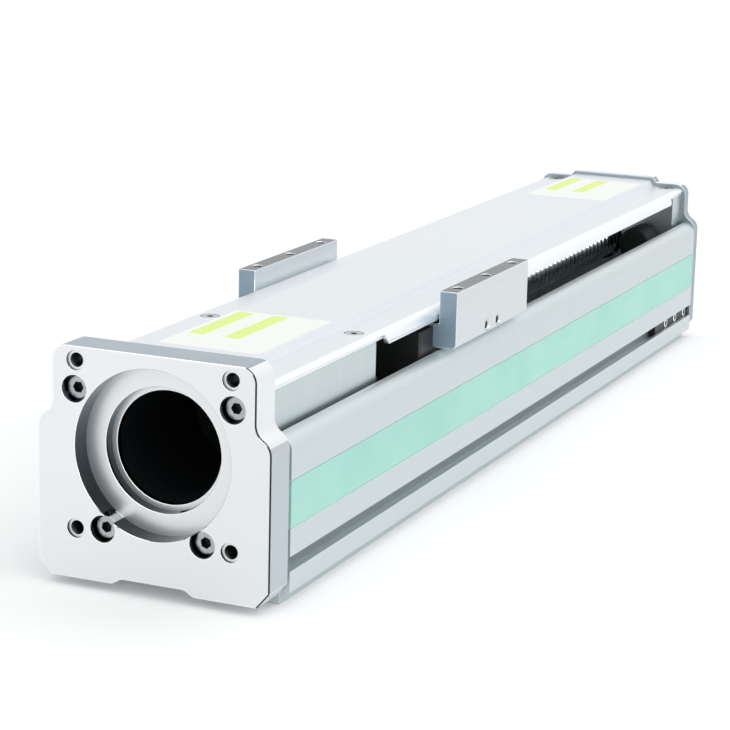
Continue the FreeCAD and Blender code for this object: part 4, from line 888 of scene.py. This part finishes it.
class STAGE_OT_rear_plate(bpy.types.Operator):
    """Rear plate with rounded edges"""
    bl_idname = "stage.rear_plate"
    bl_label = "Rear plate"

    def execute(self, context):
        piece = refined("rear_plate", "closing_plate", "plate", "aluminium_milled",
                        forms().plate_edge, segments=3)
        # Painted shade: the rear plate's sides and front faces darker than the rest
        paint(piece, "rear_plate",
              lambda place, normal: abs(normal.y) > MOSTLY or normal.x < -ACROSS)
        return finished()


class STAGE_OT_housings(bpy.types.Operator):
    """Front and rear screw housings"""
    bl_idname = "stage.housings"
    bl_label = "Screw housings"

    def execute(self, context):
        for end in ("front", "rear"):
            piece = refined(f"{end}_housing", f"screw_housing_{end}", "housing",
                            "aluminium_milled", forms().profile_edge)
            # Painted shade in the bores of the housings
            paint(piece, "shaded", lambda place, normal: abs(normal.x) < ACROSS
                  and from_axis(place) < HOUSING_BORE)
        return finished()


class STAGE_OT_cover(bpy.types.Operator):
    """Sheet cover with its raised middle"""
    bl_idname = "stage.cover"
    bl_label = "Cover"

    def execute(self, context):
        piece = refined("top_cover", "sheet_cover", "cover", "aluminium_satin",
                        forms().cover_edge)
        lip = COVER_BOX[1].y - LIP_WIDTH
        # Painted highlight on the rolled lips along both sides of the cover
        paint(piece, "painted_lip_highlight",
              lambda place, normal: abs(normal.y) > BENT and abs(place.y) > lip)
        screws = heads("cover_screws", -UP)
        # Painted shade round the mouths of the cover's screws
        paint(piece, "shaded", lambda place, normal: normal.z < LEVEL and any(
            (place - screw).length < COVER_MOUTH for screw in screws))
        return finished()


class STAGE_OT_carriage(bpy.types.Operator):
    """Carriage block with its two mounting edges"""
    bl_idname = "stage.carriage"
    bl_label = "Carriage"

    def execute(self, context):
        piece = copy_of("carriage_block", "carriage_body")
        for side in SIDES:
            self.fill_arm(piece, side)
            drill(piece, side_holes(side), inward(side), SIDE_HOLE_RADIUS, SIDE_HOLE_MOUTH,
                  SIDE_HOLE_DEPTH)
        holes = [hole for side in SIDES for hole in side_holes(side)]
        soften(piece, forms().carriage_edge, segments=3, share=lambda place: float(all(
            (place - hole).length >= SIDE_HOLE_RIM for hole in holes)))
        settle(piece, "carriage", "ground", "steel_ground", "carriage_block")
        # Painted shade on the upward faces of the carriage
        paint(piece, "machined_top", lambda place, normal: normal.z > ALONG)
        # Painted shade and a bluish painted reflection on the carriage's end faces
        paint(piece, "carriage_end", lambda place, normal: abs(normal.x) > ALONG)
        # Painted shade inside the tapped holes of the carriage
        blacken(piece, top_holes(), -UP, TOP_HOLE_RADIUS, start=0.4 * MM, end=TOP_HOLE_DEPTH)
        for side in SIDES:
            blacken(piece, side_holes(side), inward(side), SIDE_HOLE_RADIUS, start=MM,
                    end=SIDE_HOLE_DEPTH)
        return finished()

    def fill_arm(self, piece, side):
        """Bring the underside of one arm down and fill out its lower outer corner."""
        low, high = CARRIAGE_BOX
        clear_selection()
        bpy.ops.mesh.primitive_cube_add(size=1, location=(
            CARRIAGE_MIDDLE, side * (high.y - ARM_REACH / 2), ARM_BOTTOM + ARM_FILLED / 2))
        bar = bpy.context.object
        bar.scale = (high.x - low.x + MM, ARM_REACH + MM, ARM_FILLED)
        fix_place()
        keep_within(bar.data, box_of(piece.data))
        edit_some(bar, lambda place: side * place.y > high.y - MM and place.z < ARM_BOTTOM + MM)
        bpy.ops.mesh.bevel(offset=ARM_CORNER, segments=6, affect="EDGES")
        close_edit()
        combine(piece, bar, "UNION")
        merge_flat(piece)


def top_holes():
    """Mouths of the tapped holes in the mounting edges of the carriage."""
    high = CARRIAGE_BOX[1]
    return [Vector((CARRIAGE_MIDDLE + step * TOP_HOLE_PITCH, side * (high.y - TOP_HOLE_INSET),
                    high.z)) for side in SIDES for step in (-1, 0, 1)]


def side_holes(side):
    """Mouths of the two small tapped holes in one side of the carriage."""
    return [Vector((CARRIAGE_MIDDLE + step * SIDE_HOLE_STEP, side * CARRIAGE_BOX[1].y,
                    SIDE_HOLE_HEIGHT)) for step in SIDES]


class STAGE_OT_ball_screw(bpy.types.Operator):
    """Ball screw: a helical track between two turned ends"""
    bl_idname = "stage.ball_screw"
    bl_label = "Ball screw"

    def execute(self, context):
        low, high = SCREW_BOX
        start = HOUSING_BOX[1].x - THREAD_IN_FRONT
        end = REAR_HOUSING_BOX[0].x + THREAD_IN_REAR
        pieces = [self.thread((high.z - low.z) / 2, start, end),
                  self.journal("drive", low.x, start), self.journal("rear", end, high.x)]
        whole = joined("threaded_screw", pieces)
        smooth(whole)
        settle(whole, "screw", "bright", "steel_bright", "ball_screw")
        return finished()

    def thread(self, radius, start, end):
        """Helical sheet cut square and closed at both ends."""
        lead, depth = forms().thread_lead, forms().thread_depth
        land, steps = LAND * lead, 8
        track = [(0.0, radius)]
        for step in range(steps + 1):
            share = step / steps
            track.append((land + (lead - land) * share,
                          radius - depth * math.sin(math.pi * share)))
        piece = chain("screw_thread", [Vector((start - lead + along, 0, height))
                                       for along, height in track])
        close_edit()
        turns = math.ceil((end - start) / lead) + 2
        apply_modifier(piece, "SCREW", axis="X", angle=math.tau, screw_offset=lead,
                       iterations=turns, steps=40, render_steps=40, use_merge_vertices=True,
                       merge_threshold=WELD)
        edit(piece)
        bpy.ops.mesh.remove_doubles(threshold=WELD)
        self.keep_between(start, end)
        bpy.ops.mesh.select_all(action="SELECT")
        bpy.ops.mesh.normals_make_consistent(inside=False)
        bpy.ops.transform.translate(value=(0, 0, AXIS))
        close_edit()
        return piece

    def journal(self, end, start, stop):
        """Turned end of the screw, taken from its own solid."""
        piece = copy_of("ball_screw", f"screw_{end}_journal")
        edit(piece)
        self.keep_between(start, stop)
        close_edit()
        apply_modifier(piece, "BEVEL", width=0.3 * MM, segments=2, limit_method="ANGLE",
                       angle_limit=SHARP, use_clamp_overlap=False)
        return piece

    def keep_between(self, start, end):
        """Cut off what lies outside two places along X, and close the cuts."""
        for place, normal in ((start, -1), (end, 1)):
            bpy.ops.mesh.select_all(action="SELECT")
            bpy.ops.mesh.bisect(plane_co=(place, 0, 0), plane_no=(normal, 0, 0), use_fill=True,
                                clear_outer=True)


class STAGE_OT_socket_screws(bpy.types.Operator):
    """Socket head screws of the motor plate and under the base"""
    bl_idname = "stage.socket_screws"
    bl_label = "Socket screws"

    def execute(self, context):
        self.row("motor_flange_screws", "plate_socket_screws", AHEAD, PLATE_SCREW, "screw")
        self.row("housing_screws", "base_socket_screws", UP, BASE_SCREW, "black")
        return finished()

    def row(self, node, name, direction, sizes, finish):
        head, height, shank, key = (size * MM for size in sizes)
        profile = head_and_shank(node, direction, head, height, height, shank)
        model = turned("socket_screw", rounded(profile, 0.35 * MM))
        row_of_screws(node, name, direction, model, key, height * 0.55, edge=0.08 * MM,
                      finish=finish, roll=0.35)


def head_and_shank(node, direction, head, rim, neck, shank):
    """Profile of a node's screw: its head is full width to the rim and ends at the neck."""
    deep = screw_length(node, direction)
    return [(0, 0), (head / 2, 0), (head / 2, rim), (shank / 2, neck), (shank / 2, deep),
            (0, deep)]


def row_of_screws(node, name, direction, model, key, key_depth, edge, finish, roll):
    """Give a turned screw its key hole and set a copy in the place of each one of a node."""
    hexagon_cut(model, key, key_depth)
    soften(model, edge)
    places = heads(node, direction)
    whole = repeated(model, name, places, direction, roll)
    settle(whole, "base", finish, "steel_black", node)
    # Painted shade inside the key holes
    blacken(whole, places, direction, key)


def islands(node):
    """Boxes of the separate solids of a CAD node, as lowest and highest corners."""
    mesh = bmesh.new()
    mesh.from_mesh(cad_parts[node].data)
    bmesh.ops.remove_doubles(mesh, verts=mesh.verts, dist=WELD)
    left, boxes = set(mesh.verts), []
    while left:
        stack, found = [left.pop()], []
        while stack:
            vertex = stack.pop()
            found.append(vertex.co.copy())
            for edge in vertex.link_edges:
                other = edge.other_vert(vertex)
                if other in left:
                    left.discard(other)
                    stack.append(other)
        boxes.append(corners(found))
    mesh.free()
    return sorted(boxes, key=lambda box: tuple(round(value, 5) for value in box[0]))


def heads(node, direction):
    """Middles of the flat heads of a node's screws, each of which points along direction."""
    places = []
    for low, high in islands(node):
        middle = (low + high) / 2
        half = abs((high - low).dot(direction)) / 2
        places.append(middle - direction * half)
    return places


def screw_length(node, direction):
    low, high = islands(node)[0]
    return abs((high - low).dot(direction))


class STAGE_OT_countersunk_screws(bpy.types.Operator):
    """Countersunk screws of the cover and of the rear plate"""
    bl_idname = "stage.countersunk_screws"
    bl_label = "Countersunk screws"

    def execute(self, context):
        self.row("cover_screws", "cover_flat_screws", -UP, COVER_SCREW)
        self.row("rear_plate_screws", "rear_flat_screws", -AHEAD, REAR_SCREW)
        return finished()

    def row(self, node, name, direction, sizes):
        head, cone, shank, key = (size * MM for size in sizes)
        profile = head_and_shank(node, direction, head, 0.25 * MM, cone, shank)
        model = turned("flat_screw", rounded(profile, 0.12 * MM, steps=2))
        row_of_screws(node, name, direction, model, key, cone, edge=0.05 * MM, finish="screw",
                      roll=0.4)


class STAGE_OT_threads(bpy.types.Operator):
    """Threads in the tapped holes of the motor plate and the carriage"""
    bl_idname = "stage.threads"
    bl_label = "Threads"

    def execute(self, context):
        self.row("motor_threads", motor_holes(), AHEAD, "base", MOTOR_THREAD)
        self.row("carriage_threads", top_holes(), -UP, "carriage", TOP_THREAD)
        for name, side in (("near", -1), ("far", 1)):
            self.row(f"carriage_side_threads_{name}", side_holes(side), inward(side), "carriage",
                     SIDE_THREAD)
        return finished()

    def row(self, name, places, direction, body, sizes):
        """Sleeve of thread ridges in each hole."""
        radius, pitch, start, end = sizes
        outer, root, crest = radius + 0.02, radius - 0.02, radius - 0.2
        profile = [(outer, start), (outer, end), (root, end)]
        for turn in range(int((end - start) / pitch), 0, -1):
            at = start + (turn - 0.5) * pitch
            profile += [(root, at + 0.3 * pitch), (crest, at), (root, at - 0.3 * pitch)]
        profile += [(root, start), (outer, start)]
        model = turned("thread_sleeve", [(across * MM, up * MM) for across, up in profile],
                       steps=32)
        # The thread sleeves take a darkened finish: painted shade in the holes
        settle(repeated(model, name, places, direction), body, "thread", None)


class STAGE_OT_slot_bar(bpy.types.Operator):
    """Nut bar in the near slot and its set screws"""
    bl_idname = "stage.slot_bar"
    bl_label = "Slot bar"

    def execute(self, context):
        refined("slot_nut_bar", "nut_bar", "black", "steel_black", width=0.15 * MM)
        node, toward = "slot_bar_screws", inward(-1)
        deep = screw_length(node, toward)
        profile = [(0, 0), (SET_SCREW_RADIUS, 0), (SET_SCREW_RADIUS, deep), (0, deep)]
        model = turned("set_screw", rounded(profile, 0.3 * MM), steps=32)
        row_of_screws(node, "bar_set_screws", toward, model, SET_SCREW_KEY, deep / 2,
                      edge=0.05 * MM, finish="bright", roll=0.5)
        return finished()


class STAGE_OT_bumpers(bpy.types.Operator):
    """Rubber stops with rounded noses"""
    bl_idname = "stage.bumpers"
    bl_label = "Rubber stops"

    def execute(self, context):
        for end, direction in (("front", AHEAD), ("rear", -AHEAD)):
            node = f"{end}_bumpers"
            low, high = islands(node)[0]
            radius, deep = (high.z - low.z) / 2, high.x - low.x
            groove = radius - 0.25 * MM
            profile = [(0, 0), (radius, 0), (radius, deep * 0.72), (groove, deep * 0.74),
                       (groove, deep * 0.78), (radius, deep * 0.8), (radius, deep), (0, deep)]
            model = turned("rubber_stop", rounded(profile, 2 * MM, steps=5), steps=40)
            smooth(model)
            whole = repeated(model, f"rubber_stops_{end}", heads(node, direction), direction)
            settle(whole, "base", "rubber", "rubber_black", node)
        return finished()


class STAGE_OT_labels(bpy.types.Operator):
    """Two blank labels on the raised middle of the cover"""
    bl_idname = "stage.labels"
    bl_label = "Blank labels"

    def execute(self, context):
        self.label("blank_label_front", PLATE_BOX[0].x + forms().label_start)
        rear = REAR_PLATE_BOX[1].x - forms().label_end - forms().label_length
        self.label("blank_label_rear", rear)
        return finished()

    def label(self, name, start):
        thick, corner, lift = 0.12 * MM, 1.5 * MM, 0.02 * MM
        size = (forms().label_length, forms().label_width)
        clear_selection()
        bpy.ops.mesh.primitive_plane_add(
            size=1, location=(start + size[0] / 2, 0, COVER_BOX[1].z + lift))
        piece = bpy.context.object
        piece.name = name
        piece.scale = (*size, 1)
        fix_place()
        edit(piece)
        bpy.ops.mesh.bevel(offset=corner, offset_type="OFFSET", segments=5, affect="VERTICES")
        close_edit()
        apply_modifier(piece, "SOLIDIFY", thickness=thick, offset=-1.0)
        soften(piece, thick / 3)
        lay_uv(piece, start, size)
        settle(piece, "base", "label", None)


def lay_uv(piece, start, size):
    """Spread the label's print over its top, from 0 to 1 both ways."""
    mesh = piece.data
    layer = mesh.uv_layers.active or mesh.uv_layers.new(name="print")
    for loop in mesh.loops:
        place = mesh.vertices[loop.vertex_index].co
        layer.data[loop.index].uv = ((place.x - start) / size[0], place.y / size[1] + 0.5)


KEPT = {
    "black": ("bearing_retainer", "lock_nut"),
    "hard": ("retaining_ring", "guide_rail_near", "guide_rail_far"),
    "bright": ("carriage_balls",),
    "plastic": ("end_cap_front", "end_cap_rear"),
    "screw": ("end_cap_screws", "ball_nut_screws"),
    "rubber": ("end_seal_front", "end_seal_rear"),
    "ground": ("ball_nut",),
    "brass": ("grease_nipples",),
}


class STAGE_OT_inner_parts(bpy.types.Operator):
    """Finishes of the parts that keep the shape they have"""
    bl_idname = "stage.inner_parts"
    bl_label = "Inner parts"

    def execute(self, context):
        for finish, nodes in KEPT.items():
            for node in nodes:
                dress(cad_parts[node], finish)
        for bearing in BEARINGS:
            for part, finish in (("outer_ring", "hard"), ("inner_ring", "hard"),
                                 ("balls", "bright")):
                dress(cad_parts[f"{bearing}_{part}"], finish)
        return finished()


class STAGE_OT_studio(bpy.types.Operator):
    """Pale floor, soft lamps, sky and camera"""
    bl_idname = "stage.studio"
    bl_label = "Studio"

    def execute(self, context):
        self.floor()
        self.sky()
        self.lamp("soft_lamp", LAMP_FROM, studio().sun, studio().spread)
        self.lamp("side_lamp", SIDE_LAMP_FROM, studio().side, studio().side_spread)
        self.camera()
        bpy.context.scene.view_settings.view_transform = "Standard"
        return finished()

    def seen(self, nodes):
        """1 where the camera, a reflection or clear glass looks, and 0 for other light."""
        path = nodes.add("LightPath").outputs
        mirrored = nodes.math("MAXIMUM", path["Is Glossy Ray"], path["Is Transmission Ray"])
        return nodes.math("MAXIMUM", path["Is Camera Ray"], mirrored)

    def floor(self):
        clear_selection()
        bpy.ops.mesh.primitive_plane_add(size=FLOOR_SIZE, location=FLOOR_MIDDLE)
        floor = bpy.context.object
        floor.name = "floor"
        fix_place()
        material, nodes, shader, _place = new_material("pale_floor")
        shader.inputs["Base Color"].default_value = (0.9, 0.905, 0.91, 1)
        shader.inputs["Roughness"].default_value = 0.9
        shader.inputs["Specular IOR Level"].default_value = 0.1
        strength = nodes.math("MULTIPLY", self.seen(nodes), studio().glow)
        glow = nodes.add("Emission", {"Color": (1, 1, 1, 1), "Strength": strength})
        both = nodes.add("AddShader", {0: shader.outputs[0], 1: glow.outputs[0]})
        output = next(node for node in nodes.tree.nodes if node.type == "OUTPUT_MATERIAL")
        nodes.feed(output.inputs["Surface"], both.outputs[0])
        floor.data.materials.append(material)

    def sky(self):
        world = bpy.data.worlds.new("studio_sky")
        bpy.context.scene.world = world
        world.use_nodes = True
        world.node_tree.nodes.clear()
        nodes = Nodes(world.node_tree)
        strength = nodes.stretch(self.seen(nodes), 0.0, 1.0, studio().sky, 1.0)
        light = nodes.add("Background", {"Color": (1, 1, 1, 1), "Strength": strength})
        nodes.add("OutputWorld", {"Surface": light.outputs[0]})

    def lamp(self, name, source, strength, spread):
        data = bpy.data.lights.new(name, "SUN")
        data.energy = strength
        data.angle = spread
        add_object(name, data).rotation_euler = source.to_track_quat("Z", "Y").to_euler()

    def camera(self):
        data = bpy.data.cameras.new("camera")
        data.lens = studio().lens
        data.sensor_width = SENSOR_WIDTH
        data.clip_start, data.clip_end = 0.05, 30.0
        camera = add_object("camera", data)
        turn = Matrix((CAMERA_RIGHT, -CAMERA_DOWN, -CAMERA_AHEAD)).transposed().to_4x4()
        camera.matrix_world = Matrix.Translation(CAMERA_PLACE) @ turn
        bpy.context.scene.camera = camera


OPERATORS = (
    STAGE_OT_base, STAGE_OT_motor_plate, STAGE_OT_rear_plate, STAGE_OT_housings, STAGE_OT_cover,
    STAGE_OT_carriage, STAGE_OT_ball_screw, STAGE_OT_socket_screws, STAGE_OT_countersunk_screws,
    STAGE_OT_threads, STAGE_OT_slot_bar, STAGE_OT_bumpers, STAGE_OT_labels,
    STAGE_OT_inner_parts, STAGE_OT_studio,
)


class STAGE_PT_panel(bpy.types.Panel):
    """Lists the pieces and their settings"""
    bl_idname = "STAGE_PT_panel"
    bl_label = "Linear stage"
    bl_space_type = "VIEW_3D"
    bl_region_type = "UI"
    bl_category = "Linear stage"

    def draw(self, context):
        for operator in OPERATORS:
            self.layout.operator(operator.bl_idname)
        for group in (forms(), tints(), studio()):
            for name in group.__annotations__:
                self.layout.prop(group, name)


GROUPS = (
    ("stage_forms", StageForms),
    ("stage_finishes", StageFinishes),
    ("stage_studio", StageStudio),
)


def register():
    for name, group in GROUPS:
        bpy.utils.register_class(group)
        setattr(bpy.types.Scene, name, PointerProperty(type=group))
    for operator in OPERATORS:
        bpy.utils.register_class(operator)
    bpy.utils.register_class(STAGE_PT_panel)


def unregister():
    bpy.utils.unregister_class(STAGE_PT_panel)
    for operator in reversed(OPERATORS):
        bpy.utils.unregister_class(operator)
    for name, group in reversed(GROUPS):
        delattr(bpy.types.Scene, name)
        bpy.utils.unregister_class(group)


def main():
    register()
    for operator in OPERATORS:
        family, name = operator.bl_idname.split(".")
        getattr(getattr(bpy.ops, family), name)()


if __name__ == "__main__":
    main()
